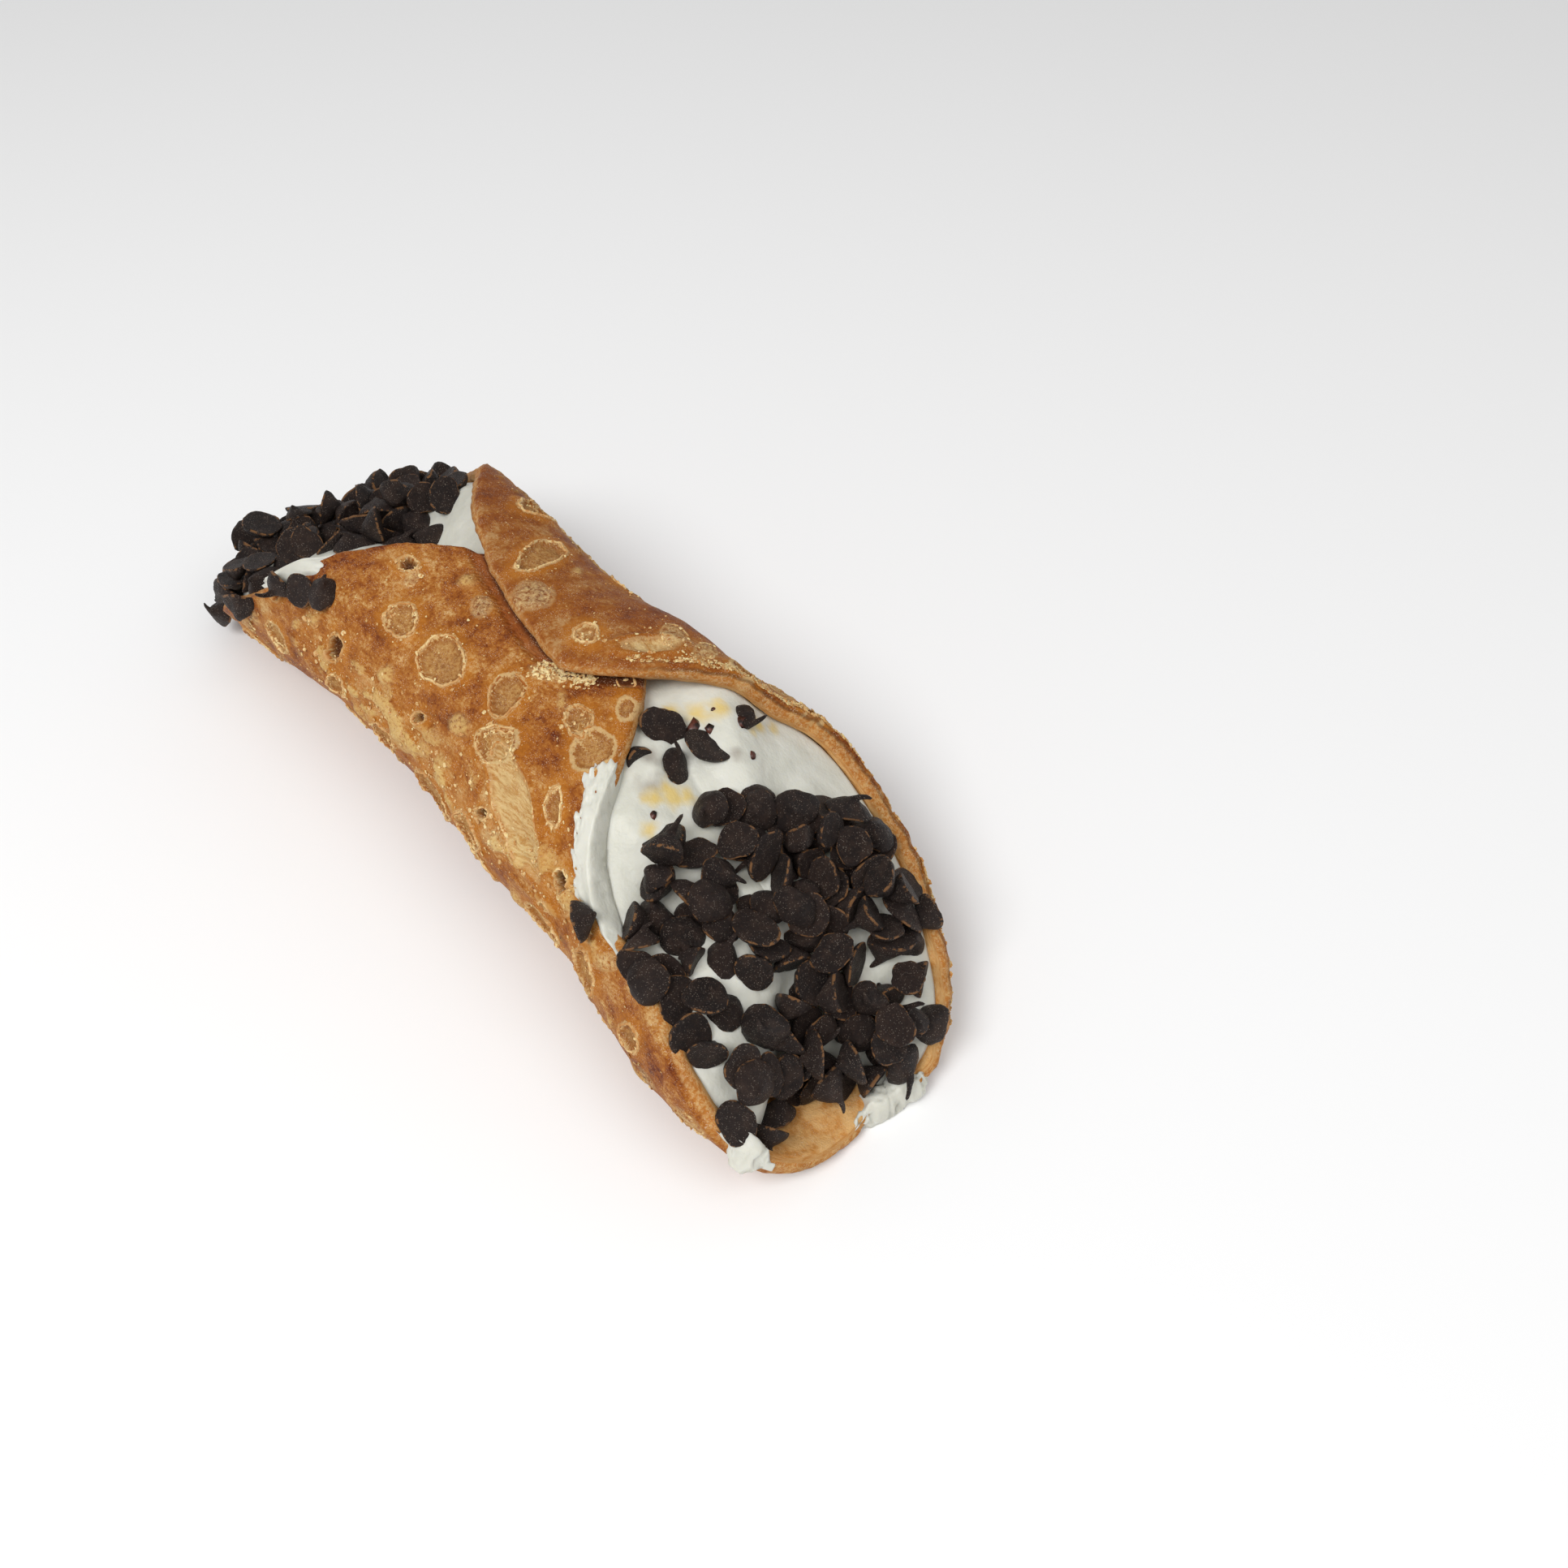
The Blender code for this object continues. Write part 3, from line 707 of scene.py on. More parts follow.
def crumb_places(ridge_places, random, size):
    """Where crumbs lie: sheet places (mm), their half-size (mm) and how pale they are."""
    groups = []

    def scatter(along, around, smallest, largest, pale):
        half = size * smallest * (largest / smallest) ** (random.uniform(0.0, 1.0, len(along)) ** 1.6)
        groups.append(np.stack([along, around, half, np.full(len(along), pale)], axis=-1))

    chosen = ridge_places[random.integers(0, len(ridge_places), 1500)]
    chosen = chosen + random.normal(0.0, 0.40, chosen.shape)
    scatter(chosen[:, 0], chosen[:, 1], 0.10, 0.34, 0.75)
    way = np.sqrt(random.uniform(0.0, 0.97, 2400))
    turn = random.uniform(0.0, 2.0 * math.pi, 2400)
    along, angle = sheet_place(way * np.cos(turn), way * np.sin(turn))
    scatter(*sheet_mm(along, angle), 0.07, 0.17, 0.45)
    way = 1.0 - np.abs(random.normal(0.0, 0.014, 1100)) - 0.002
    turn = np.radians(random.uniform(12.0, 84.0, 1100))
    along, angle = sheet_place(way * np.cos(turn), way * np.sin(turn))
    scatter(*sheet_mm(along, angle), 0.12, 0.42, 0.55)
    count = 420
    along = random.uniform(-40.0, 26.0, count)
    around = np.radians(random.normal(-101.0, 9.0, count)) * TUBE_RADIUS / MM
    scatter(along, around, 0.10, 0.36, 0.6)
    count = 300
    share = random.uniform(0.0, 1.0, count)
    along = -4.4 + 7.0 * share + random.normal(0.0, 0.5, count)
    around = np.radians(-158.5 - 11.0 * share + random.normal(0.0, 2.0, count)) * TUBE_RADIUS / MM
    scatter(along, around, 0.10, 0.34, 1.0)
    way = 1.0 - random.uniform(0.0, 0.050, 700)
    turn = np.radians(random.uniform(14.0, 80.0, 700))
    along, angle = sheet_place(way * np.cos(turn), way * np.sin(turn))
    scatter(*sheet_mm(along, angle), 0.10, 0.30, 0.75)
    return np.concatenate(groups)


def build_crumbs(material, ridge_places, blisters, size):
    """Loose crumbs and flakes of dry dough that cling to the surface."""
    random = np.random.default_rng(33)
    spots = crumb_places(ridge_places, random, size)
    along = spots[:, 0] * MM
    angle = spots[:, 1] * MM / TUBE_RADIUS
    keep = rim_distance(along, angle) > 0.1
    spots, along, angle = spots[keep], along[keep], angle[keep]
    base, _, _ = dough_height(along, angle, blisters)
    count = len(spots)
    corners = np.array(CRUMB_CORNERS)[None] * random.uniform(0.65, 1.25, (count, len(CRUMB_CORNERS), 1))
    sizes = spots[:, 2:3] * random.uniform(0.6, 1.5, (count, 3)) * (1.0, 1.0, 0.55)
    corners = corners * sizes[:, None, :]
    spin = random.uniform(0.0, 2.0 * math.pi, count)
    normal = outward(along, angle)
    ahead = np.broadcast_to((1.0, 0.0, 0.0), normal.shape)
    side = np.cross(normal, ahead)
    side = side / np.linalg.norm(side, axis=-1, keepdims=True)
    ahead = np.cross(side, normal)
    first = ahead * np.cos(spin)[:, None] + side * np.sin(spin)[:, None]
    second = side * np.cos(spin)[:, None] - ahead * np.sin(spin)[:, None]
    lean = normal + random.normal(0.0, 0.35, normal.shape)
    lean = lean / np.linalg.norm(lean, axis=-1, keepdims=True)
    centre = on_dough(along, angle, base + spots[:, 2] * 0.25)
    points = centre[:, None] + MM * (
        corners[..., 0:1] * first[:, None] + corners[..., 1:2] * second[:, None] + corners[..., 2:3] * lean[:, None]
    )
    points[..., 2] = np.maximum(points[..., 2], 0.0)
    faces = (np.array(CRUMB_FACES)[None] + np.arange(count)[:, None, None] * len(CRUMB_CORNERS)).reshape(-1, 3)
    tint = np.repeat(np.clip(random.normal(spots[:, 3], 0.22), 0.0, 1.0), len(CRUMB_CORNERS))
    fields = {"crest": np.ones(len(tint)), "tint": tint}
    piece = make_piece("dough_crumbs", points.reshape(-1, 3) + SHIFT, faces.tolist(), material, fields)
    piece.data.shade_flat()
    return piece


# ---- Cream ------------------------------------------------------------------------------

def mouth_line(end, angle):
    """Where along the tube the sheet's edge crosses each angle, at the +X or -X end."""
    turn = np.linspace(0.0, math.pi / 2.0, 181)
    lines = []
    for flap in (1.0, -1.0):
        edge_along, edge_angle = sheet_place(end * np.cos(turn), flap * np.sin(turn))
        lines.append(np.interp(np.abs(angle), np.abs(edge_angle), edge_along))
    share = smooth_step((math.pi - np.abs(angle)) / 0.5) / 2.0 + 0.5
    own = np.where(angle > 0, lines[0], lines[1])
    other = np.where(angle > 0, lines[1], lines[0])
    return own * share + other * (1.0 - share)


def filling_point(along, angle):
    """A point of the cream's skin, just inside the dough, level where the flaps lap."""
    covered = 2.0 * math.pi - np.maximum(flap_reach(along, -1.0, 181), math.pi)
    lift_share = smooth_step((covered - LAP_CREAM_CLEARANCE - angle) / LAP_CREAM_RAMP)
    offset = lap_offset(angle)
    top_tuck = -LAP_TUCK * smooth_step((np.abs(angle) - LAP_START) / (LAP_FULL - LAP_START))
    held = np.where(angle > 0, offset * lift_share + top_tuck * (1.0 - lift_share), offset)
    depth = WALL + SKIN_GAP + offset - held
    return tube_point(along, angle, depth)


def cream_skin(spokes, rings):
    """Rows of cream points from the far mouth to the near one, and the two mouths."""
    angle = np.linspace(-math.pi, math.pi, spokes, endpoint=False)
    near_full = mouth_line(1.0, angle) - MOUTH_SETBACK
    near = near_full - LIP_SETBACK * bump(angle - LIP_ANGLE, LIP_SPREAD)
    far = mouth_line(-1.0, angle) + MOUTH_SETBACK
    rows = []
    for share in np.linspace(0.0, 1.0, rings):
        rows.append(filling_point(far + (near - far) * share, angle))
    near_loop = filling_point(near_full, angle)
    near_mouth = Mouth(rows[-1], near_loop, NEAR_DOME, NEAR_CROWN, 0.0, 0.0)
    far_mouth = Mouth(rows[0], rows[0], FAR_DOME, FAR_CROWN, FAR_LEAN, FAR_TILT)
    return rows, far_mouth, near_mouth


def cream_mouths():
    """The cream's far mouth and its near mouth."""
    return cream_skin(CREAM_SPOKES, CREAM_RINGS)[1:]


def loop_point(loop, spoke):
    """A point of a closed loop, spoke being the share of the way round it."""
    closed = np.vstack([loop, loop[:1]])
    place = spoke * len(loop)
    low = np.floor(place).astype(int) % len(loop)
    share = (place - np.floor(place))[..., None]
    return closed[low] * (1.0 - share) + closed[low + 1] * share


def mouth_frame(mouth):
    """Middle of a mouth, unit vectors lengthwise (towards the lip), sideways and outwards."""
    loop = mouth.full_loop
    lip = loop[len(loop) // 2]
    centre = loop.mean(axis=0) + (lip - loop[0]) * mouth.lean
    lengthwise = (lip - loop[0]) * np.sign(lip[0])
    normal = np.cross(lengthwise, (0.0, 1.0, 0.0))
    normal /= np.linalg.norm(normal)
    towards_lip = (lip - loop[0]) / np.linalg.norm(lip - loop[0])
    sideways = np.cross(normal, towards_lip)
    return centre, towards_lip, sideways, normal


def dome_point(mouth, q, spoke):
    """A point of the cream domed over a mouth: q is 1 at the loop and 0 in the middle."""
    centre, _, _, normal = mouth_frame(mouth)
    share = q[..., None]
    edge = loop_point(mouth.full_loop, spoke) * (1.0 - share) + loop_point(mouth.loop, spoke) * share
    towards_lip = -np.cos(2.0 * math.pi * spoke) * q
    height = mouth.height * (1.0 - q ** mouth.crown) * (1.0 + mouth.tilt * towards_lip)
    return centre + (edge - centre) * share + normal * height[..., None]


def cream_lumps(points, normal, amount):
    """Soft lumps and dents of spooned cream."""
    place = points / MM
    height = 0.55 * soft_noise(place, 7.0, 41) + 0.30 * soft_noise(place, 3.2, 42)
    height = height + 0.10 * soft_noise(place, 1.3, 43)
    return points + normal * (height * amount * MM)[..., None]


def build_cream(material):
    """The ricotta cream that fills the tube and domes out of both mouths."""
    rows, far_mouth, near_mouth = cream_skin(CREAM_SPOKES, CREAM_RINGS)
    spoke = np.arange(CREAM_SPOKES) / CREAM_SPOKES
    shares = np.linspace(1.0, 0.0, DOME_RINGS + 1)[1:-1]
    near_normal = mouth_frame(near_mouth)[3]
    far_normal = mouth_frame(far_mouth)[3]
    far_rows = []
    near_rows = []
    for share in shares:
        q = np.full(CREAM_SPOKES, share)
        amount = smooth_step((1.0 - share) / 0.12)
        far_rows.insert(0, cream_lumps(dome_point(far_mouth, q, spoke), far_normal, amount))
        near_rows.append(cream_lumps(dome_point(near_mouth, q, spoke), near_normal, amount))
    middle = np.zeros(1)
    far_tip = cream_lumps(dome_point(far_mouth, middle, middle), far_normal, 1.0)
    near_tip = cream_lumps(dome_point(near_mouth, middle, middle), near_normal, 1.0)
    rows = far_rows + rows + near_rows
    points = np.concatenate(rows + [far_tip, near_tip])
    faces = []
    for index in range(len(rows) - 1):
        first = np.arange(CREAM_SPOKES) + index * CREAM_SPOKES
        faces += ring_faces(first + CREAM_SPOKES, first)
    last = (len(rows) - 1) * CREAM_SPOKES
    far_index = len(rows) * CREAM_SPOKES
    for step in range(CREAM_SPOKES):
        after = (step + 1) % CREAM_SPOKES
        faces.append((step, after, far_index))
        faces.append((last + after, last + step, far_index + 1))
    return make_piece("ricotta_filling", points + SHIFT, faces, material, stains(points, near_mouth))


# ---- Bits and smears on the cream and the rim -------------------------------------------

CREAM_STAINS = (  # place on the near mouth's cream (shares), half-size (mm), kind
    (-0.86, 0.26, 1.6, "peel"), (-0.82, 0.36, 1.3, "peel"), (-0.92, 0.14, 1.1, "peel"), (-0.66, 0.60, 1.1, "peel"),
    (-0.60, 0.72, 1.0, "peel"), (-0.66, -0.22, 1.8, "peel"), (-0.60, -0.12, 1.2, "peel"), (-0.70, -0.36, 1.4, "peel"),
    (-0.74, 0.58, 0.8, "peel"), (-0.56, -0.50, 1.1, "peel"), (-0.66, 0.50, 0.8, "peel"),
    (-0.90, 0.02, 1.3, "cocoa"), (-0.62, 0.28, 1.0, "cocoa"), (-0.74, -0.33, 1.7, "cocoa"),
    (-0.84, -0.22, 1.4, "cocoa"), (-0.16, -0.30, 1.6, "cocoa"), (0.10, -0.12, 1.5, "cocoa"),
    (0.74, -0.52, 1.2, "cocoa"), (0.40, 0.32, 1.2, "cocoa"), (-0.40, 0.05, 1.3, "cocoa"),
)
CREAM_FLAKES = (  # place (shares), half-size (mm)
    (-0.81, 0.18, 1.25), (-0.77, 0.25, 0.75), (-0.72, 0.43, 1.1), (-0.58, 0.38, 0.8), (-0.86, -0.06, 0.5),
    (-0.83, 0.33, 0.35), (-0.91, -0.34, 0.8), (-0.62, -0.44, 0.7), (0.86, 0.05, 0.6), (0.60, 0.30, 0.5),
    (-0.36, -0.62, 0.45), (0.80, -0.12, 0.4), (-0.86, 0.15, 0.3),
)
SMEARS = (  # end, angles (degrees), reach over the outer side and over the inner side (mm), thickness (mm)
    (1.0, -160.0, -99.0, 4.6, 1.5, 0.60), (1.0, -9.0, 31.0, 1.2, 4.2, 1.5), (1.0, -70.0, -47.0, 0.8, 8.0, 1.2),
    (-1.0, -142.0, -108.0, 2.6, 1.5, 0.7),
)
SMEAR_STEP = 0.18  # mm
RIM_OVERHANG = 0.7  # mm that the rounded edge reaches past the rim line


def cream_place(mouth, x, y, height):
    """A point over the cream's lumpy top at x, y (shares of the mouth's half-sizes)."""
    q = np.array([min(math.hypot(x, y), 0.99)])
    spoke = np.array([(math.atan2(y, x) / (2.0 * math.pi) + 0.5) % 1.0])
    normal = mouth_frame(mouth)[3]
    amount = smooth_step((1.0 - q) / 0.12)
    return cream_lumps(dome_point(mouth, q, spoke), normal, amount)[0] + normal * height


def stains(points, mouth):
    """How much peel and how much cocoa shows through the cream at each point."""
    found = {"peel": np.zeros(len(points)), "cocoa": np.zeros(len(points))}
    wander = 0.45 * soft_noise(points / MM, 1.1, 91) + 0.25 * soft_noise(points / MM, 0.5, 92)
    for x, y, size, kind in CREAM_STAINS:
        distance = np.linalg.norm(points - cream_place(mouth, x, y, 0.0), axis=-1) / (size * MM)
        found[kind] = np.maximum(found[kind], np.clip(1.25 - distance + wander, 0.0, 1.0))
    return found


def build_flakes(mouth, material):
    """Flat broken bits of chocolate pressed into the cream of the near mouth."""
    random = np.random.default_rng(4)
    points = []
    faces = []
    normal = Vector(mouth_frame(mouth)[3])
    for index, (x, y, size) in enumerate(CREAM_FLAKES):
        corners = np.array(CRUMB_CORNERS) * random.uniform(0.6, 1.3, (len(CRUMB_CORNERS), 1))
        corners = corners * random.uniform(0.7, 1.2, 3) * (size, size, size * 0.22)
        turn = (normal + Vector(random.normal(0.0, 0.16, 3))).to_track_quat("Z", "Y").to_matrix()
        points.append(cream_place(mouth, x, y, 0.02 * MM) + corners @ np.array(turn).T * MM)
        faces += [tuple(index * len(CRUMB_CORNERS) + corner for corner in face) for face in CRUMB_FACES]
    return make_piece("chocolate_flakes", np.concatenate(points) + SHIFT, faces, material)


def rim_place(end, angle, inside):
    """Where along the tube a place lies that is inside mm from the rim at one end, at each angle."""
    near = 0.0 * angle
    far = near + end * 0.09
    for _ in range(30):
        middle = (near + far) / 2.0
        deeper = rim_distance(middle, angle) > inside
        near = np.where(deeper, middle, near)
        far = np.where(deeper, far, middle)
    return (near + far) / 2.0


def build_smears(material, blisters, amount):
    """Cream that went past the rim: it wraps the cut edge and thins out raggedly on both sides."""
    points = []
    faces = []
    total = 0
    for number, (end, start, stop, outer, inner, thick) in enumerate(SMEARS):
        columns = int(math.radians(stop - start) * TUBE_RADIUS / MM / SMEAR_STEP)
        angle = np.radians(np.linspace(start, stop, columns))
        ends = np.minimum(np.arange(columns), np.arange(columns)[::-1]) * SMEAR_STEP
        ends = smooth_step(ends / 4.0) - 1.0
        levels = [(1.0, inside) for inside in np.arange(outer, -RIM_OVERHANG, -SMEAR_STEP)]
        levels += [(math.sin(tilt), -math.cos(tilt)) for tilt in np.radians((75, 50, 25, 0, -25, -50, -75))]
        levels += [(-1.0, inside) for inside in np.arange(-RIM_OVERHANG, inner, SMEAR_STEP)]
        for side, inside in levels:
            turning = abs(side) < 1.0
            reach = outer if side > 0 else inner
            place = np.stack([angle * TUBE_RADIUS / MM, 0.0 * angle + inside, 0.0 * angle + side * 3.0], axis=-1)
            lace = 0.9 * soft_noise(place, 2.8, 95 + number) + 0.9 * soft_noise(place, 1.2, 96 + number)
            lace = lace + 0.65 * soft_noise(place, 0.55, 97 + number)
            share = 1.25 - 2.1 * max(inside, 0.0) / reach + 2.6 * ends + lace
            coat = thick * amount * np.clip(0.9 * np.tanh(1.1 * share), -0.6, 1.0)
            if turning:
                along = rim_place(end, angle, inside * (0.1 + np.clip(coat, 0.0, None)) - RIM_OVERHANG)
                height = -WALL / MM / 2.0 + side * (WALL / MM / 2.0 + coat)
            else:
                along = rim_place(end, angle, inside)
                dough = dough_height(along, angle, blisters)[0]
                height = dough + coat - 0.05 if side > 0 else -WALL / MM - coat
            points.append(on_dough(along, angle, height))
        for row in range(len(levels) - 1):
            first = total + row * columns
            for step in range(columns - 1):
                faces.append((first + step, first + columns + step, first + columns + step + 1, first + step + 1))
        total += len(levels) * columns
    return make_piece("cream_smears", np.concatenate(points) + SHIFT, faces, material)


# ---- Chocolate drops --------------------------------------------------------------------

DROP_SPOKES = 28
FOOT_ROWS = ((0.42, 0.045, 0.0), (0.74, 0.022, 0.0), (0.91, 0.004, 0.3), (0.98, 0.018, 1.0))  # radius, height, scuff
BODY_ROWS = (
    (1.0, 0.075, 1.0), (0.975, 0.15, 0.5), (0.91, 0.26, 0.0), (0.80, 0.38, 0.0), (0.66, 0.50, 0.0),
    (0.51, 0.61, 0.0), (0.37, 0.71, 0.1), (0.26, 0.80, 0.2),
)
TAIL_ROWS = ((0.19, 0.18, 0.2), (0.145, 0.42, 0.2), (0.115, 0.68, 0.3), (0.085, 0.88, 0.4))  # share along the tail
TAIL_TILT = math.radians(55)
ROW_GAP = 4.65  # mm between the rows of drops before they fall
COLUMN_GAP = 5.35
NEAR_HEAP_EDGE = (  # outline of the heap, as shares of the mouth's half-length (to the lip) and half-width
    (-0.60, -0.46), (-0.70, -0.26), (-0.56, -0.15), (-0.66, 0.03), (-0.69, 0.21), (-0.62, 0.42), (-0.48, 0.50),
    (-0.40, 0.64), (-0.28, 0.81), (-0.12, 0.93), (0.04, 0.92), (0.22, 0.98), (0.36, 0.96), (0.50, 0.80),
    (0.68, 0.68), (0.84, 0.50), (0.89, 0.33), (0.87, 0.10), (0.80, -0.22), (0.68, -0.45), (0.64, -0.72),
    (0.50, -0.98), (0.20, -1.04), (0.0, -1.04), (-0.20, -0.98), (-0.31, -0.86), (-0.35, -0.66), (-0.48, -0.60),
)
FAR_HEAP_EDGE = (
    (-0.44, 0.84), (-0.72, 0.60), (-0.80, 0.32), (-0.97, 0.08), (-1.08, -0.22), (-1.12, -0.44), (-0.98, -0.76),
    (-0.62, -0.98), (-0.20, -1.06), (0.40, -1.02), (0.84, -0.72), (1.02, -0.20), (1.0, 0.35), (0.74, 0.80),
    (0.32, 1.04), (-0.10, 1.08), (-0.36, 1.02),
)
NEAR_STRAYS = (  # single drops on the cream: shares, tilts (degrees), height (mm), foot up
    (-0.83, 0.02, 20, -10, 0.6, True), (-0.72, 0.15, -15, 20, 0.5, True), (-0.69, -0.05, 10, 25, 0.6, False),
    (-0.72, 0.43, 35, -20, -1.3, False), (-0.87, -0.30, 50, 0, -1.2, True), (0.46, -0.92, 10, 5, 0.9, True),
)
SHELL_STRAYS = (  # single drops on the dough: along (mm), angle, tilts (degrees), foot up, on the inner side
    (24.4, -106.0, 35, -25, True, False), (51.6, -46.0, 15, 20, True, True), (48.6, -34.0, -20, 25, False, True),
    (-39.9, -123.5, 10, 20, True, False), (-44.0, -117.0, 60, 0, False, False),
    (-52.5, -93.0, 50, 30, False, False), (-36.8, -128.0, -30, 15, False, False),
)
NEAR_SHELL_STRAYS = 3  # how many of them lie at the near end
DROP_SCALE = 100.0  # the drops settle in a world this much larger, which suits the solver
SETTLE_FRAMES = 70
NEAR_SINK = 0.0006  # how far the settled drops are pressed into the cream
FAR_SINK = 0.0005
NEAR_SEED = 5
FAR_SEED = 8


def drop_mesh(random, size):
    """Points, faces and scuff of one poured chocolate drop, its flat foot down, in millimetres."""
    radius = random.uniform(0.87, 1.14) * size / MM / 2.0
    height = random.uniform(1.9, 3.4)
    tail = height * 0.26 + (random.uniform(0.8, 2.6) if random.uniform() < 0.45 else 0.0)
    bend = radius * random.uniform(0.05, 0.85)
    lean = random.uniform(0.0, 2.0 * math.pi)
    pear = random.uniform(0.0, 0.42)
    phase = random.uniform(0.0, 2.0 * math.pi, 3)
    way = np.arange(DROP_SPOKES) * 2.0 * math.pi / DROP_SPOKES
    outline = 0.98 + 0.09 * np.sin(2.0 * way + phase[0]) + 0.045 * np.sin(3.0 * way + phase[1])
    outline = outline + 0.025 * np.sin(5.0 * way + phase[2]) + pear * np.clip(np.cos(way), 0.0, 1.0) ** 4
    points = []
    scuff = []
    for share, level, edge in FOOT_ROWS + BODY_ROWS:
        centre = (bend * level ** 1.6, 0.0, level * height)
        ring = np.stack([np.cos(way) * outline, np.sin(way) * outline, 0.0 * way], axis=-1)
        points.append(ring * share * radius + centre)
        scuff.append(np.full(DROP_SPOKES, edge))
    start = np.array((bend * BODY_ROWS[-1][1] ** 1.6, 0.0, BODY_ROWS[-1][1] * height))
    for share, level, edge in TAIL_ROWS:
        centre = start + (0.85 * tail * level, 0.0, tail * (0.75 * level - 0.35 * level ** 2))
        tilt = TAIL_TILT * level
        ring = np.stack([np.cos(way) * math.cos(tilt), np.sin(way), -np.cos(way) * math.sin(tilt)], axis=-1)
        points.append(ring * share * radius + centre)
        scuff.append(np.full(DROP_SPOKES, edge))
    foot = np.array([[0.0, 0.0, FOOT_ROWS[0][1] * height]])
    tip = start[None] + (0.85 * tail, 0.0, 0.42 * tail)
    rows = len(points)
    points = np.concatenate(points + [foot, tip])
    scuff = np.concatenate(scuff + [np.zeros(1), np.full(1, 0.4)])
    place = points + random.uniform(0.0, 90.0, 3)
    lumps = 0.20 * soft_noise(place, 1.5, 85) + 0.11 * soft_noise(place, 0.65, 86)
    away = points - (bend * 0.3, 0.0, height * 0.3)
    points = points + away / np.linalg.norm(away, axis=-1, keepdims=True) * lumps[:, None]
    turned = np.array(Matrix.Rotation(lean, 3, "Z"))
    points = (points - (0.0, 0.0, height * 0.38)) @ turned.T
    faces = []
    for row in range(rows - 1):
        first = np.arange(DROP_SPOKES) + row * DROP_SPOKES
        faces += ring_faces(first, first + DROP_SPOKES)
    last = (rows - 1) * DROP_SPOKES
    foot_index = rows * DROP_SPOKES
    for step in range(DROP_SPOKES):
        after = (step + 1) % DROP_SPOKES
        faces.append((after, step, foot_index))
        faces.append((last + step, last + after, foot_index + 1))
    return points, faces, scuff


def hull_points(points):
    """Fewer points of a drop without its tail, for its stand-in while it settles."""
    rows = (2, 4, 6, 8, 10)
    chosen = [points[row * DROP_SPOKES:(row + 1) * DROP_SPOKES:3] for row in rows]
    return np.concatenate(chosen)


def mouth_place(mouth, x, y, height):
    """A point over a mouth, x (towards the lip) and y (sideways) as shares of its half-sizes."""
    centre, towards_lip, sideways, normal = mouth_frame(mouth)
    lip = mouth.full_loop[len(mouth.full_loop) // 2]
    half_length = np.linalg.norm(lip - mouth.full_loop[0]) / 2.0
    half_width = np.ptp(mouth.full_loop[:, 1]) / 2.0
    return centre + towards_lip * (x * half_length) + sideways * (y * half_width) + normal * height


def inside_edge(x, y, edge):
    """Whether a place lies inside a heap's outline."""
    inside = False
    for (x0, y0), (x1, y1) in zip(edge, edge[1:] + edge[:1]):
        if (y0 > y) != (y1 > y) and x < x0 + (y - y0) * (x1 - x0) / (y1 - y0):
            inside = not inside
    return inside


def spread_starts(mouth, count, edge, random):
    """Where drops start above a mouth: staggered rows inside the heap's outline, level by level."""
    middle = np.mean(edge, axis=0)
    length = np.linalg.norm(mouth_place(mouth, 1.0, 0.0, 0.0) - mouth_place(mouth, 0.0, 0.0, 0.0))
    width = np.linalg.norm(mouth_place(mouth, 0.0, 1.0, 0.0) - mouth_place(mouth, 0.0, 0.0, 0.0))
    places = []
    level = 0
    while len(places) < count:
        layer = []
        for row in range(-8, 9):
            for column in range(-8, 9):
                x = (row + 0.5 * level) * ROW_GAP * MM / length
                y = (column + 0.5 * (row % 2) + 0.3 * level) * COLUMN_GAP * MM / width
                grown = middle + (np.array((x, y)) - middle) * (1.08 + 0.06 * level)
                if not inside_edge(grown[0], grown[1], edge):
                    continue
                x, y = (x, y) + random.uniform(-0.6, 0.6, 2) * MM / (length, width)
                layer.append(mouth_place(mouth, x, y, (3.5 + level * 5.2) * MM))
        random.shuffle(layer)
        places += layer
        level += 1
    return places[:count]


def fence(mouth, edge):
    """A wall round a heap's outline, which keeps the falling drops inside."""
    rows = [[mouth_place(mouth, x, y, height) for x, y in edge] for height in (-8.0 * MM, 60.0 * MM)]
    mesh = bpy.data.meshes.new("fence")
    first = np.arange(len(edge))
    mesh.from_pydata(np.concatenate(rows).tolist(), [], ring_faces(first, first + len(edge)))
    return mesh


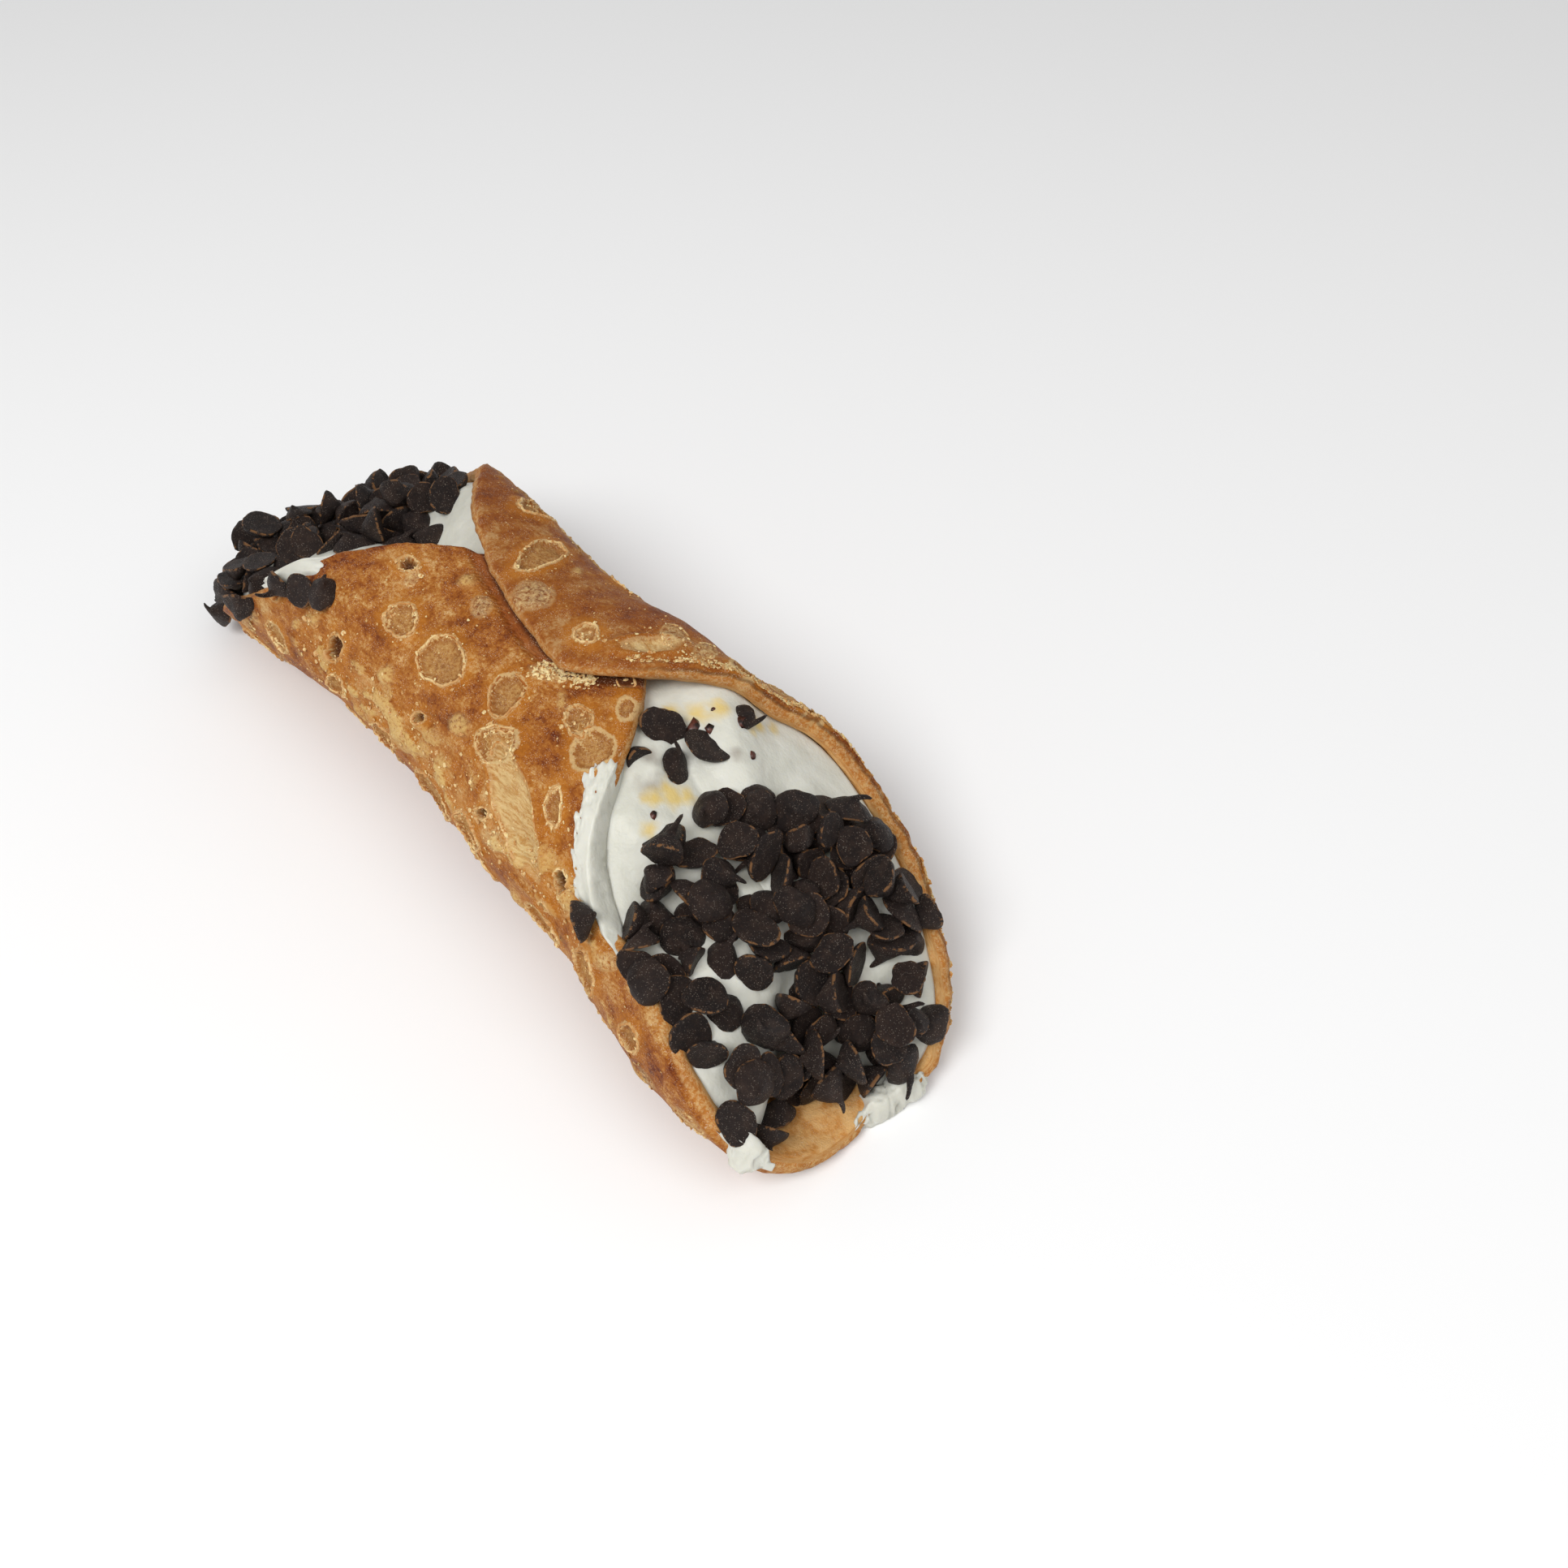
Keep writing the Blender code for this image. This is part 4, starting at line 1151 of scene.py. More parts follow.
def settle(starts, shapes, normal, colliders, random):
    """Let the drops fall against the mouth and pile up. Returns a matrix for each drop."""
    scene = bpy.context.scene
    scene.gravity = Vector(-normal * 9.81)
    bpy.ops.rigidbody.world_add()
    world = scene.rigidbody_world
    world.substeps_per_frame = 8
    world.solver_iterations = 20
    world.point_cache.frame_start = 1
    world.point_cache.frame_end = SETTLE_FRAMES
    helpers = []
    for source in colliders:
        mesh = source.copy()
        mesh.transform(Matrix.Scale(DROP_SCALE, 4))
        helper = bpy.data.objects.new("settle_wall", mesh)
        scene.collection.objects.link(helper)
        helpers.append((helper, "PASSIVE"))
    bodies = []
    for start, shape in zip(starts, shapes):
        mesh = bpy.data.meshes.new("settle_drop")
        points = hull_points(shape[0]) * MM * DROP_SCALE
        mesh.from_pydata(points.tolist(), [], [])
        body = bpy.data.objects.new("settle_drop", mesh)
        scene.collection.objects.link(body)
        body.location = Vector(start * DROP_SCALE)
        body.rotation_mode = "QUATERNION"
        facing = Vector(normal)
        if random.uniform() < 0.5:
            facing = -facing
        tilt = Vector(random.normal(0.0, 0.62, 3))
        body.rotation_quaternion = (facing + tilt).to_track_quat("Z", "Y")
        bodies.append(body)
        helpers.append((body, "ACTIVE"))
    for helper, kind in helpers:
        bpy.ops.object.select_all(action="DESELECT")
        helper.select_set(True)
        bpy.context.view_layer.objects.active = helper
        bpy.ops.rigidbody.object_add(type=kind)
        rigid = helper.rigid_body
        rigid.friction = 2.0
        rigid.restitution = 0.0
        rigid.use_margin = True
        if kind == "PASSIVE":
            rigid.collision_shape = "MESH"
            rigid.collision_margin = 0.01
        else:
            rigid.collision_shape = "CONVEX_HULL"
            rigid.collision_margin = 0.0
            rigid.mass = 1.0
            rigid.linear_damping = 0.75
            rigid.angular_damping = 0.85
    for number in range(1, SETTLE_FRAMES + 1):
        scene.frame_set(number)
    matrices = []
    for body in bodies:
        matrix = body.matrix_world.copy()
        matrix.translation = matrix.translation / DROP_SCALE
        matrices.append(matrix)
    bpy.ops.rigidbody.world_remove()
    for helper, _ in helpers:
        mesh = helper.data
        bpy.data.objects.remove(helper, do_unlink=True)
        bpy.data.meshes.remove(mesh)
    scene.frame_set(1)
    return matrices


def laid_drop(point, facing, tilts, foot_up, random):
    """A matrix that lays one drop at a point of a surface that faces facing."""
    side, forward = (math.radians(tilt) for tilt in tilts)
    upright = Vector(facing).to_track_quat("Z", "Y").to_matrix().to_4x4()
    lean = Matrix.Rotation(side, 4, "X") @ Matrix.Rotation(forward, 4, "Y")
    if foot_up:
        lean = lean @ Matrix.Rotation(math.pi, 4, "X")
    spin = Matrix.Rotation(random.uniform(0.0, 2.0 * math.pi), 4, "Z")
    return Matrix.Translation(Vector(point)) @ upright @ lean @ spin


def join_drops(name, shapes, matrices, random, material):
    """One mesh of all the drops where the matrices put them; those that fell off are left out."""
    points = []
    faces = []
    scuffs = []
    tints = []
    total = 0
    for shape, matrix in zip(shapes, matrices):
        tint = random.uniform()
        turned = (shape[0] * MM) @ np.array(matrix.to_3x3()).T + np.array(matrix.translation)
        if turned[:, 2].min() < 0.5 * MM:
            continue
        points.append(turned)
        faces += [tuple(total + index for index in face) for face in shape[1]]
        scuffs.append(shape[2])
        tints.append(np.full(len(turned), tint))
        total += len(turned)
    fields = {"scuff": np.concatenate(scuffs), "tint": np.concatenate(tints)}
    return make_piece(name, np.concatenate(points), faces, material, fields)


def pile_up(name, mouth, count, size, edge, sink, laid, seed, material):
    """A joined mesh of drops that settled on a mouth's cream, and the drops laid down one by one."""
    random = np.random.default_rng(seed)
    shapes = [drop_mesh(random, size) for _ in range(count)]
    shifted = Mouth(mouth.loop + SHIFT, mouth.full_loop + SHIFT, *mouth[2:])
    centre, _, _, normal = mouth_frame(shifted)
    starts = spread_starts(shifted, count, edge, random)
    walls = [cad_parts["cream"].data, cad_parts["shell"].data, fence(shifted, edge)]
    kept_shapes = []
    kept = []
    for shape, matrix in zip(shapes, settle(starts, shapes, normal, walls, random)):
        if np.dot(np.array(matrix.translation) - centre, normal) < -9.0 * MM:
            continue
        matrix.translation = matrix.translation - Vector(normal) * sink
        kept_shapes.append(shape)
        kept.append(matrix)
    for point, facing, tilts, foot_up in laid:
        kept_shapes.append(drop_mesh(random, size))
        kept.append(laid_drop(point, facing, tilts, foot_up, random))
    return join_drops(name, kept_shapes, kept, random, material)


def laid_on_cream(mouth):
    """The near mouth's single drops: place, facing, tilts and whether the foot is up."""
    normal = mouth_frame(mouth)[3]
    return [(cream_place(mouth, x, y, height * MM) + SHIFT, normal, (side, forward), foot_up)
            for x, y, side, forward, height, foot_up in NEAR_STRAYS]


def laid_on_dough(strays):
    """Single drops on the dough: place, facing, tilts and whether the foot is up."""
    found = []
    for along_mm, degrees, side, forward, foot_up, within in strays:
        along = np.array([along_mm * MM])
        angle = np.array([math.radians(degrees)])
        height = -WALL / MM - 1.0 if within else 1.1
        point = on_dough(along, angle, np.array([height]))[0] + SHIFT
        facing = outward(along, angle)[0] * (-1.0 if within else 1.0)
        found.append((point, facing, (side, forward), foot_up))
    return found


# ---- Materials --------------------------------------------------------------------------

def add(tree, kind, settings=None, links=None):
    """A shader node with its settings, and its inputs set or linked."""
    node = tree.nodes.new(kind)
    for key, value in (settings or {}).items():
        setattr(node, key, value)
    for key, value in (links or {}).items():
        socket = node.inputs[key]
        if isinstance(value, bpy.types.NodeSocket):
            tree.links.new(value, socket)
        else:
            socket.default_value = value
    return node


def start_material(name):
    """An empty material with a Principled shader and the object's own coordinates."""
    material = bpy.data.materials.new(name)
    material.use_nodes = True
    tree = material.node_tree
    shader = tree.nodes["Principled BSDF"]
    place = add(tree, "ShaderNodeTexCoord").outputs["Object"]
    return material, tree, shader, place


def per_mm(size):
    """The scale of a pattern whose features are size millimetres across."""
    return 1.0 / (size * MM)


def ramp(tree, value, low, high):
    """0 below low, 1 above high, smooth between."""
    return add(tree, "ShaderNodeMapRange", {"interpolation_type": "SMOOTHSTEP"}, {
        "Value": value, "From Min": low, "From Max": high,
    }).outputs["Result"]


def blend(tree, share, first, second, mode="MIX"):
    """One colour laid over another."""
    node = add(tree, "ShaderNodeMix", {"data_type": "RGBA", "blend_type": mode})
    for socket, value in ((node.inputs[0], share), (node.inputs[6], first), (node.inputs[7], second)):
        if isinstance(value, bpy.types.NodeSocket):
            tree.links.new(value, socket)
        elif isinstance(value, tuple):
            socket.default_value = (*value[:3], 1.0)
        else:
            socket.default_value = value
    return node.outputs[2]


def work(tree, operation, first, second=0.0):
    """The result of one sum on two values."""
    return add(tree, "ShaderNodeMath", {"operation": operation}, {0: first, 1: second}).outputs[0]


def noise(tree, place, size, detail=2.0, roughness=0.5):
    """Cloudy noise from 0 to 1 with lumps of size millimetres."""
    return add(tree, "ShaderNodeTexNoise", None, {
        "Vector": place, "Scale": per_mm(size), "Detail": detail, "Roughness": roughness,
    }).outputs["Fac"]


def field(tree, name):
    """A number stored on the mesh."""
    return add(tree, "ShaderNodeAttribute", {"attribute_name": name}).outputs["Fac"]


def shades(tree, value, stops):
    """A colour read off a scale of shades, each at its own place from 0 to 1."""
    node = add(tree, "ShaderNodeValToRGB", None, {"Fac": value})
    elements = node.color_ramp.elements
    while len(elements) < len(stops):
        elements.new(0.5)
    for element, (place, colour) in zip(elements, stops):
        element.position = place
        element.color = (*colour, 1.0)
    return node.outputs["Color"]


def fried_dough(colours):
    """Wheat dough fried in oil: golden brown, matt where it blistered, a dull oily sheen between."""
    material, tree, shader, _ = start_material("Fried_wheat_dough")
    flat = add(tree, "ShaderNodeAttribute", {"attribute_name": "sheet"}).outputs["Vector"]
    drift = add(tree, "ShaderNodeTexNoise", None, {"Vector": flat, "Scale": per_mm(2.2), "Detail": 2.0})
    place = add(tree, "ShaderNodeVectorMath", {"operation": "MULTIPLY_ADD"}, {
        0: drift.outputs["Color"], 1: (1.3 * MM, 1.3 * MM, 1.3 * MM), 2: flat,
    }).outputs[0]
    edge = field(tree, "blister_edge")
    pale = field(tree, "pale")
    cloud = noise(tree, flat, 9.0, 2.0)
    mottle = noise(tree, place, 2.8, 9.0, 0.68)
    grain = noise(tree, flat, 0.50, 5.0, 0.75)
    fine = noise(tree, flat, 0.16, 2.0)
    rolled = add(tree, "ShaderNodeMapping", None, {
        "Vector": place, "Rotation": (0.0, 0.0, math.radians(-38.0)), "Scale": (0.13, 1.0, 1.0),
    }).outputs["Vector"]
    streak = noise(tree, rolled, 0.36, 5.0, 0.7)
    blot = noise(tree, flat, 1.5, 3.0, 0.6)

    tone = work(tree, "ADD", work(tree, "MULTIPLY", mottle, 1.5), work(tree, "MULTIPLY", grain, 1.15))
    tone = work(tree, "ADD", tone, work(tree, "MULTIPLY", streak, 0.5))
    tone = work(tree, "ADD", tone, work(tree, "MULTIPLY", cloud, 0.9))
    # pale lifts the tone: partly painted light on the side facing the key lamp.
    tone = work(tree, "ADD", tone, work(tree, "MULTIPLY", pale, 0.16))
    tone = work(tree, "SUBTRACT", tone, 1.525)
    colour = shades(tree, tone, (
        (0.14, colours["burnt"]), (0.34, colours["toasted"]), (0.50, colours["golden"]),
        (0.66, colours["amber"]), (0.88, colours["sandy"]),
    ))
    # Painted shade: the +Y flap is darkened towards the toasted colour.
    colour = blend(tree, work(tree, "MULTIPLY", field(tree, "toast"), 0.42), colour, colours["toasted"])
    butter = work(tree, "MULTIPLY", pale, ramp(tree, blot, 0.36, 0.56))
    colour = blend(tree, work(tree, "MULTIPLY", butter, 0.60), colour, colours["honey"])
    boiled = ramp(tree, work(tree, "ADD", field(tree, "boil"), work(tree, "MULTIPLY", grain, 0.7)), 0.62, 1.05)
    boiled = work(tree, "MULTIPLY", boiled, pale)
    froth = blend(tree, ramp(tree, grain, 0.32, 0.54), colours["amber"], colours["bubble"])
    colour = blend(tree, work(tree, "MULTIPLY", boiled, 0.95), colour, froth)

    wander = work(tree, "SUBTRACT", grain, 0.5)
    ragged_edge = work(tree, "ADD", edge, work(tree, "MULTIPLY", wander, 1.3))
    strength = field(tree, "rim_strength")
    distance = work(tree, "ABSOLUTE", ragged_edge)
    rim = work(tree, "MULTIPLY", ramp(tree, distance, 0.38, 0.12), strength)
    glow = work(tree, "MULTIPLY", ramp(tree, work(tree, "ABSOLUTE", work(tree, "SUBTRACT", edge, 0.6)), 1.5, 0.1), strength)
    colour = blend(tree, work(tree, "MULTIPLY", glow, 0.50), colour, colours["honey"])
    # Painted shadow: a darker band just inside the torn rim of ring blisters.
    inner_shade = work(tree, "MULTIPLY", field(tree, "ring"),
                       ramp(tree, work(tree, "ABSOLUTE", work(tree, "ADD", ragged_edge, 0.55)), 0.42, 0.05))
    floor = work(tree, "MULTIPLY", field(tree, "ring"), 0.62)
    matt = blend(tree, ramp(tree, grain, 0.36, 0.62), colours["floor"], colours["floor_light"])
    colour = blend(tree, floor, colour, matt)
    colour = blend(tree, work(tree, "MULTIPLY", inner_shade, 0.42), colour, colours["toasted"])
    bubble = work(tree, "MULTIPLY", field(tree, "dome"), ramp(tree, grain, 0.30, 0.56))
    colour = blend(tree, work(tree, "MULTIPLY", bubble, 0.72), colour, colours["bubble"])
    flaky = work(tree, "MULTIPLY", field(tree, "flake"), ramp(tree, grain, 0.34, 0.66))
    colour = blend(tree, work(tree, "MULTIPLY", flaky, 0.70), colour, colours["blister"])
    fibre = blend(tree, ramp(tree, streak, 0.36, 0.62), colours["fibre_shade"], colours["fibre"])
    colour = blend(tree, work(tree, "MULTIPLY", field(tree, "torn"), 0.82), colour, fibre)
    colour = blend(tree, work(tree, "MULTIPLY", rim, 0.60), colour, colours["blister"])
    # Hole blisters: dark brown dough in the hollow, partly painted shadow there.
    colour = blend(tree, work(tree, "MULTIPLY", field(tree, "hole"), 0.90), colour, colours["hole"])
    groove = blend(tree, ramp(tree, streak, 0.40, 0.62), colours["groove"], colours["groove_light"])
    colour = blend(tree, work(tree, "MULTIPLY", field(tree, "groove"), 0.88), colour, groove)
    # Painted shadow: a dark line on the -Y flap along the edge of the +Y flap that laps over it.
    painted_lap_shadow = work(tree, "MULTIPLY", ramp(tree, field(tree, "lap_edge"), 1.1, 0.45), 0.88)
    colour = blend(tree, painted_lap_shadow, colour, colours["hole"])
    cut = field(tree, "cut")
    bitten = blend(tree, ramp(tree, grain, 0.44, 0.60), colours["cut"], colours["sandy"])
    colour = blend(tree, work(tree, "MULTIPLY", ramp(tree, cut, 0.10, 0.30), 0.70), colour, bitten)
    # Painted light: the inner side's own colour made lighter to stand for light that the shaded inside of the tube
    # does not get.
    lining = blend(tree, ramp(tree, mottle, 0.38, 0.60), colours["lining"], colours["lining_light"])
    colour = blend(tree, work(tree, "MULTIPLY", ramp(tree, cut, 0.70, 1.0), 0.90), colour, lining)
    seam = work(tree, "MULTIPLY", ramp(tree, work(tree, "ABSOLUTE", work(tree, "SUBTRACT", cut, 0.22)), 0.16, 0.02),
                field(tree, "crumb"))
    colour = blend(tree, work(tree, "MULTIPLY", seam, 0.55), colour, colours["hole"])
    dusted = work(tree, "MULTIPLY", ramp(tree, fine, 0.57, 0.68), ramp(tree, blot, 0.40, 0.58))
    colour = blend(tree, work(tree, "MULTIPLY", dusted, 0.62), colour, colours["dust"])
    tree.links.new(colour, shader.inputs["Base Color"])

    dry = work(tree, "MAXIMUM", work(tree, "MAXIMUM", field(tree, "ring"), field(tree, "torn")), rim)
    rough = work(tree, "ADD", work(tree, "MULTIPLY", dry, 0.22), work(tree, "MULTIPLY", mottle, 0.40))
    tree.links.new(work(tree, "ADD", rough, 0.34), shader.inputs["Roughness"])
    shader.inputs["IOR"].default_value = 1.45
    shader.inputs["Specular IOR Level"].default_value = 0.2
    relief = work(tree, "ADD", work(tree, "MULTIPLY", grain, 0.62), work(tree, "MULTIPLY", streak, 0.16))
    relief = work(tree, "ADD", relief, work(tree, "MULTIPLY", mottle, 0.50))
    relief = work(tree, "ADD", relief, work(tree, "MULTIPLY", fine, 0.12))
    relief = work(tree, "MULTIPLY", relief, work(tree, "SUBTRACT", 1.0, work(tree, "MULTIPLY", field(tree, "groove"), 0.8)))
    bumped = add(tree, "ShaderNodeBump", None, {"Strength": 0.6, "Distance": 0.8 * MM, "Height": relief})
    tree.links.new(bumped.outputs["Normal"], shader.inputs["Normal"])
    return material


def dry_crumb(colours):
    """Dry blown dough: thin pale flakes that let some light through, with browned feet."""
    material, tree, shader, place = start_material("Dry_fried_crumb")
    grain = noise(tree, place, 0.5, 4.0, 0.65)
    pale = blend(tree, field(tree, "tint"), colours["amber"], colours["crumb"])
    pale = blend(tree, ramp(tree, grain, 0.55, 0.35), pale, colours["amber"])
    colour = blend(tree, ramp(tree, field(tree, "crest"), 0.1, 0.6), colours["golden"], pale)
    tree.links.new(colour, shader.inputs["Base Color"])
    shader.inputs["Roughness"].default_value = 0.62
    shader.inputs["IOR"].default_value = 1.45
    shader.inputs["Specular IOR Level"].default_value = 0.35
    shader.inputs["Subsurface Weight"].default_value = 0.25
    shader.inputs["Subsurface Radius"].default_value = (1.0, 0.6, 0.25)
    shader.inputs["Subsurface Scale"].default_value = 0.4 * MM
    bumped = add(tree, "ShaderNodeBump", None, {"Strength": 0.5, "Distance": 0.3 * MM, "Height": grain})
    tree.links.new(bumped.outputs["Normal"], shader.inputs["Normal"])
    return material


def ricotta(colours):
    """Sieved ricotta and sugar: off-white, soft, slightly grainy, with light under its skin."""
    material, tree, shader, place = start_material("Sieved_ricotta_cream")
    cloud = noise(tree, place, 5.0, 2.0)
    grain = noise(tree, place, 0.35, 2.0)
    lump = noise(tree, place, 1.6, 3.0)
    colour = blend(tree, ramp(tree, cloud, 0.35, 0.65), colours["cream"], colours["cream_shade"])
    colour = blend(tree, work(tree, "MULTIPLY", field(tree, "cocoa"), 0.50), colour, colours["smudge"])
    colour = blend(tree, work(tree, "MULTIPLY", field(tree, "peel"), 0.75), colour, colours["peel"])
    tree.links.new(colour, shader.inputs["Base Color"])
    shader.inputs["Roughness"].default_value = 0.42
    shader.inputs["IOR"].default_value = 1.4
    shader.inputs["Subsurface Weight"].default_value = 0.35
    shader.inputs["Subsurface Radius"].default_value = (1.0, 0.85, 0.6)
    shader.inputs["Subsurface Scale"].default_value = 1.2 * MM
    relief = work(tree, "ADD", work(tree, "MULTIPLY", lump, 0.7), work(tree, "MULTIPLY", grain, 0.12))
    bumped = add(tree, "ShaderNodeBump", None, {"Strength": 0.35, "Distance": 0.8 * MM, "Height": relief})
    tree.links.new(bumped.outputs["Normal"], shader.inputs["Normal"])
    return material


def chocolate_flake(colours):
    """A thin broken flake of chocolate, redder than a whole drop where the cream has wetted it."""
    material, tree, shader, place = start_material("Wet_chocolate_flake")
    mottle = ramp(tree, noise(tree, place, 0.6, 4.0), 0.35, 0.65)
    tree.links.new(blend(tree, mottle, colours["chocolate"], colours["flake"]), shader.inputs["Base Color"])
    shader.inputs["Roughness"].default_value = 0.35
    shader.inputs["IOR"].default_value = 1.48
    return material


def chocolate(colours):
    """Dark chocolate poured in drops and tumbled: dull, its edges rubbed tan, a dust of bloom."""
    material, tree, shader, place = start_material("Dark_baking_chocolate")
    tint = field(tree, "tint")
    patch = noise(tree, place, 1.6, 3.0)
    rough_skin = noise(tree, place, 0.38, 5.0, 0.75)
    grit = add(tree, "ShaderNodeTexVoronoi", None, {"Vector": place, "Scale": per_mm(0.24)})
    grains = work(tree, "MULTIPLY", ramp(tree, grit.outputs["Distance"], 0.32, 0.14),
                  ramp(tree, noise(tree, place, 0.8, 2.0), 0.36, 0.56))
    colour = blend(tree, tint, colours["chocolate"], colours["chocolate_bloomed"])
    colour = blend(tree, work(tree, "MULTIPLY", ramp(tree, patch, 0.42, 0.72), 0.45), colour, colours["bloom"])
    colour = blend(tree, work(tree, "MULTIPLY", ramp(tree, rough_skin, 0.52, 0.66), 0.55), colour, colours["bloom"])
    colour = blend(tree, work(tree, "MULTIPLY", grains, 0.55), colour, colours["sugar"])
    worn = work(tree, "MULTIPLY", field(tree, "scuff"), ramp(tree, noise(tree, place, 1.1, 5.0, 0.65), 0.46, 0.56))
    colour = blend(tree, work(tree, "MULTIPLY", ramp(tree, worn, 0.40, 0.90), 0.75), colour, colours["scuff"])
    tree.links.new(colour, shader.inputs["Base Color"])
    tree.links.new(work(tree, "ADD", work(tree, "MULTIPLY", rough_skin, 0.35), 0.32), shader.inputs["Roughness"])
    shader.inputs["IOR"].default_value = 1.48
    shader.inputs["Specular IOR Level"].default_value = 0.35
    relief = work(tree, "ADD", rough_skin, work(tree, "MULTIPLY", grains, 0.35))
    bumped = add(tree, "ShaderNodeBump", None, {"Strength": 1.0, "Distance": 0.40 * MM, "Height": relief})
    tree.links.new(bumped.outputs["Normal"], shader.inputs["Normal"])
    return material


COLOURS = {  # the shades between the colours in the settings, as sRGB hex codes
    "floor": "9C6A34", "floor_light": "C29C62", "bubble": "D8B470", "fibre": "DCC088", "fibre_shade": "BC8E50",
    # hole: dark brown of the hole blisters' hollows, partly painted shadow there, and the painted shadow along the
    # lapped flap's edge
    "crumb": "F0D8A0", "hole": "3E1C0A", "groove": "7A3C12", "groove_light": "985424", "dust": "DCC0A4",
    # lining_light: the inner side's paler mottle, also made lighter as painted light
    "lining_light": "E8B878", "cream_shade": "CDCCC0", "smudge": "6E5A4E", "chocolate_bloomed": "261914",
    "bloom": "443228", "sugar": "B0A294", "flake": "5E3226",
}


# ---- Stage ------------------------------------------------------------------------------

CAMERA_AZIMUTH = math.radians(49.4)
CAMERA_HEIGHT = math.radians(48.5)
CAMERA_DISTANCE = 0.2083
CAMERA_AIM = Vector((0.0277, 0.0154, 0.0147))
CAMERA_LENS = 37.59


def looking_back(azimuth, elevation):
    """From a point towards a viewer at that azimuth and elevation."""
    level = math.cos(elevation)
    return Vector((math.sin(azimuth) * level, -math.cos(azimuth) * level, math.sin(elevation)))


def add_camera():
    data = bpy.data.cameras.new("camera")
    data.lens = CAMERA_LENS
    data.sensor_width = 36.0
    data.clip_start = 0.001
    camera = bpy.data.objects.new("camera", data)
    bpy.context.collection.objects.link(camera)
    back = looking_back(CAMERA_AZIMUTH, CAMERA_HEIGHT)
    camera.location = CAMERA_AIM + back * CAMERA_DISTANCE
    camera.rotation_euler = (-back).to_track_quat("-Z", "Y").to_euler()
    bpy.context.scene.camera = camera


def add_lamp(name, azimuth, elevation, distance, size, power):
    data = bpy.data.lights.new(name, "AREA")
    data.shape = "DISK"
    data.size = size
    data.energy = power
    lamp = bpy.data.objects.new(name, data)
    bpy.context.collection.objects.link(lamp)
    back = looking_back(math.radians(azimuth), math.radians(elevation))
    lamp.location = Vector((0.0, 0.0, 0.02)) + back * distance
    lamp.rotation_euler = (-back).to_track_quat("-Z", "Y").to_euler()


def build_stage():
    scene = bpy.context.scene
    scene.view_settings.view_transform = "Standard"
    add_camera()
    world = bpy.data.worlds.new("studio")
    scene.world = world
    world.use_nodes = True
    background = world.node_tree.nodes["Background"]
    background.inputs["Color"].default_value = (1.0, 1.0, 1.0, 1.0)
    background.inputs["Strength"].default_value = 0.42
    add_lamp("key", 18.0, 52.0, 0.7, 0.35, 3.0)
    add_lamp("fill", 92.0, 55.0, 0.8, 0.6, 1.6)
    material = bpy.data.materials.new("White_card")
    material.use_nodes = True
    shader = material.node_tree.nodes["Principled BSDF"]
    shader.inputs["Base Color"].default_value = (0.93, 0.93, 0.93, 1.0)
    shader.inputs["Roughness"].default_value = 0.8
    half = 1.5
    corners = [(-half, -half, 0.0), (half, -half, 0.0), (half, half, 0.0), (-half, half, 0.0)]
    floor = make_piece("floor", corners, [(0, 1, 2, 3)], material)


# ---- Settings ---------------------------------------------------------------------------

def colour(name, description, code):
    """A colour that the user can change; its default is an sRGB hex code."""
    return bpy.props.FloatVectorProperty(
        name=name, description=description, subtype="COLOR", size=3, min=0.0, max=1.0, default=linear(code),
    )


class CannoloSizes(bpy.types.PropertyGroup):
    """Sizes and amounts of the small things on the cannolo."""
    crumb_size: bpy.props.FloatProperty(
        name="Crumb Size", description="Size of the loose crumbs, as a share of their usual size",
        default=1.0, min=0.2, max=2.0, subtype="FACTOR",
    )
    smear: bpy.props.FloatProperty(
        name="Smear", description="Thickness of the cream that went past the rims, as a share of its usual thickness",
        default=1.0, min=0.0, max=1.5, subtype="FACTOR",
    )
    drop_size: bpy.props.FloatProperty(
        name="Drop Size", description="Mean width of a chocolate drop's foot",
        default=0.0046, min=0.003, max=0.006, precision=4, unit="LENGTH",
    )
    near_drops: bpy.props.IntProperty(
        name="Near Drops", description="How many drops fall onto the cream at the +X mouth",
        default=118, min=1, max=160,
    )
    far_drops: bpy.props.IntProperty(
        name="Far Drops", description="How many drops fall onto the cream at the -X mouth",
        default=145, min=1, max=180,
    )


class CannoloColours(bpy.types.PropertyGroup):
    """The colours that carry the looks of the cannolo."""
    burnt: colour("Burnt", "Darkest specks of the crust", "602408")
    # Well browned crust, and also the colour of the painted shade on the +Y flap and just inside the rims of ring
    # blisters.
    toasted: colour("Toasted", "Well browned crust", "884714")
    golden: colour("Golden", "Most of the crust", "9F5C1E")
    amber: colour("Amber", "Lighter crust", "B37736")
    sandy: colour("Sandy", "Palest crust", "D2A970")
    honey: colour("Honey", "Clear orange glow round the blisters", "BC741C")
    blister: colour("Blister", "Dry torn rims of the blisters", "E0C48C")
    cut: colour("Cut Edge", "The sheet's cut edge", "BE7A34")
    # The inner side of the tube, made lighter as painted light on its shaded inside.
    lining: colour("Lining", "The inner side of the tube", "D08C44")
    cream: colour("Cream", "Ricotta cream", "D6D5CA")
    peel: colour("Peel", "Candied peel that shows through the cream", "DCBC58")
    chocolate: colour("Chocolate", "Dark chocolate of the drops", "1A100D")
    scuff: colour("Scuff", "Rubbed edges of the drops", "94683F")


def piece_colours(scene):
    """Every colour by its name, linear: the fixed shades and the settings."""
    colours = {name: linear(code) for name, code in COLOURS.items()}
    for name in CannoloColours.__annotations__:
        colours[name] = tuple(getattr(scene.cannolo_colours, name))
    return colours


def own_finish(name, make, scene):
    """The material of that name, made if it isn't there yet."""
    return bpy.data.materials.get(name) or make(piece_colours(scene))


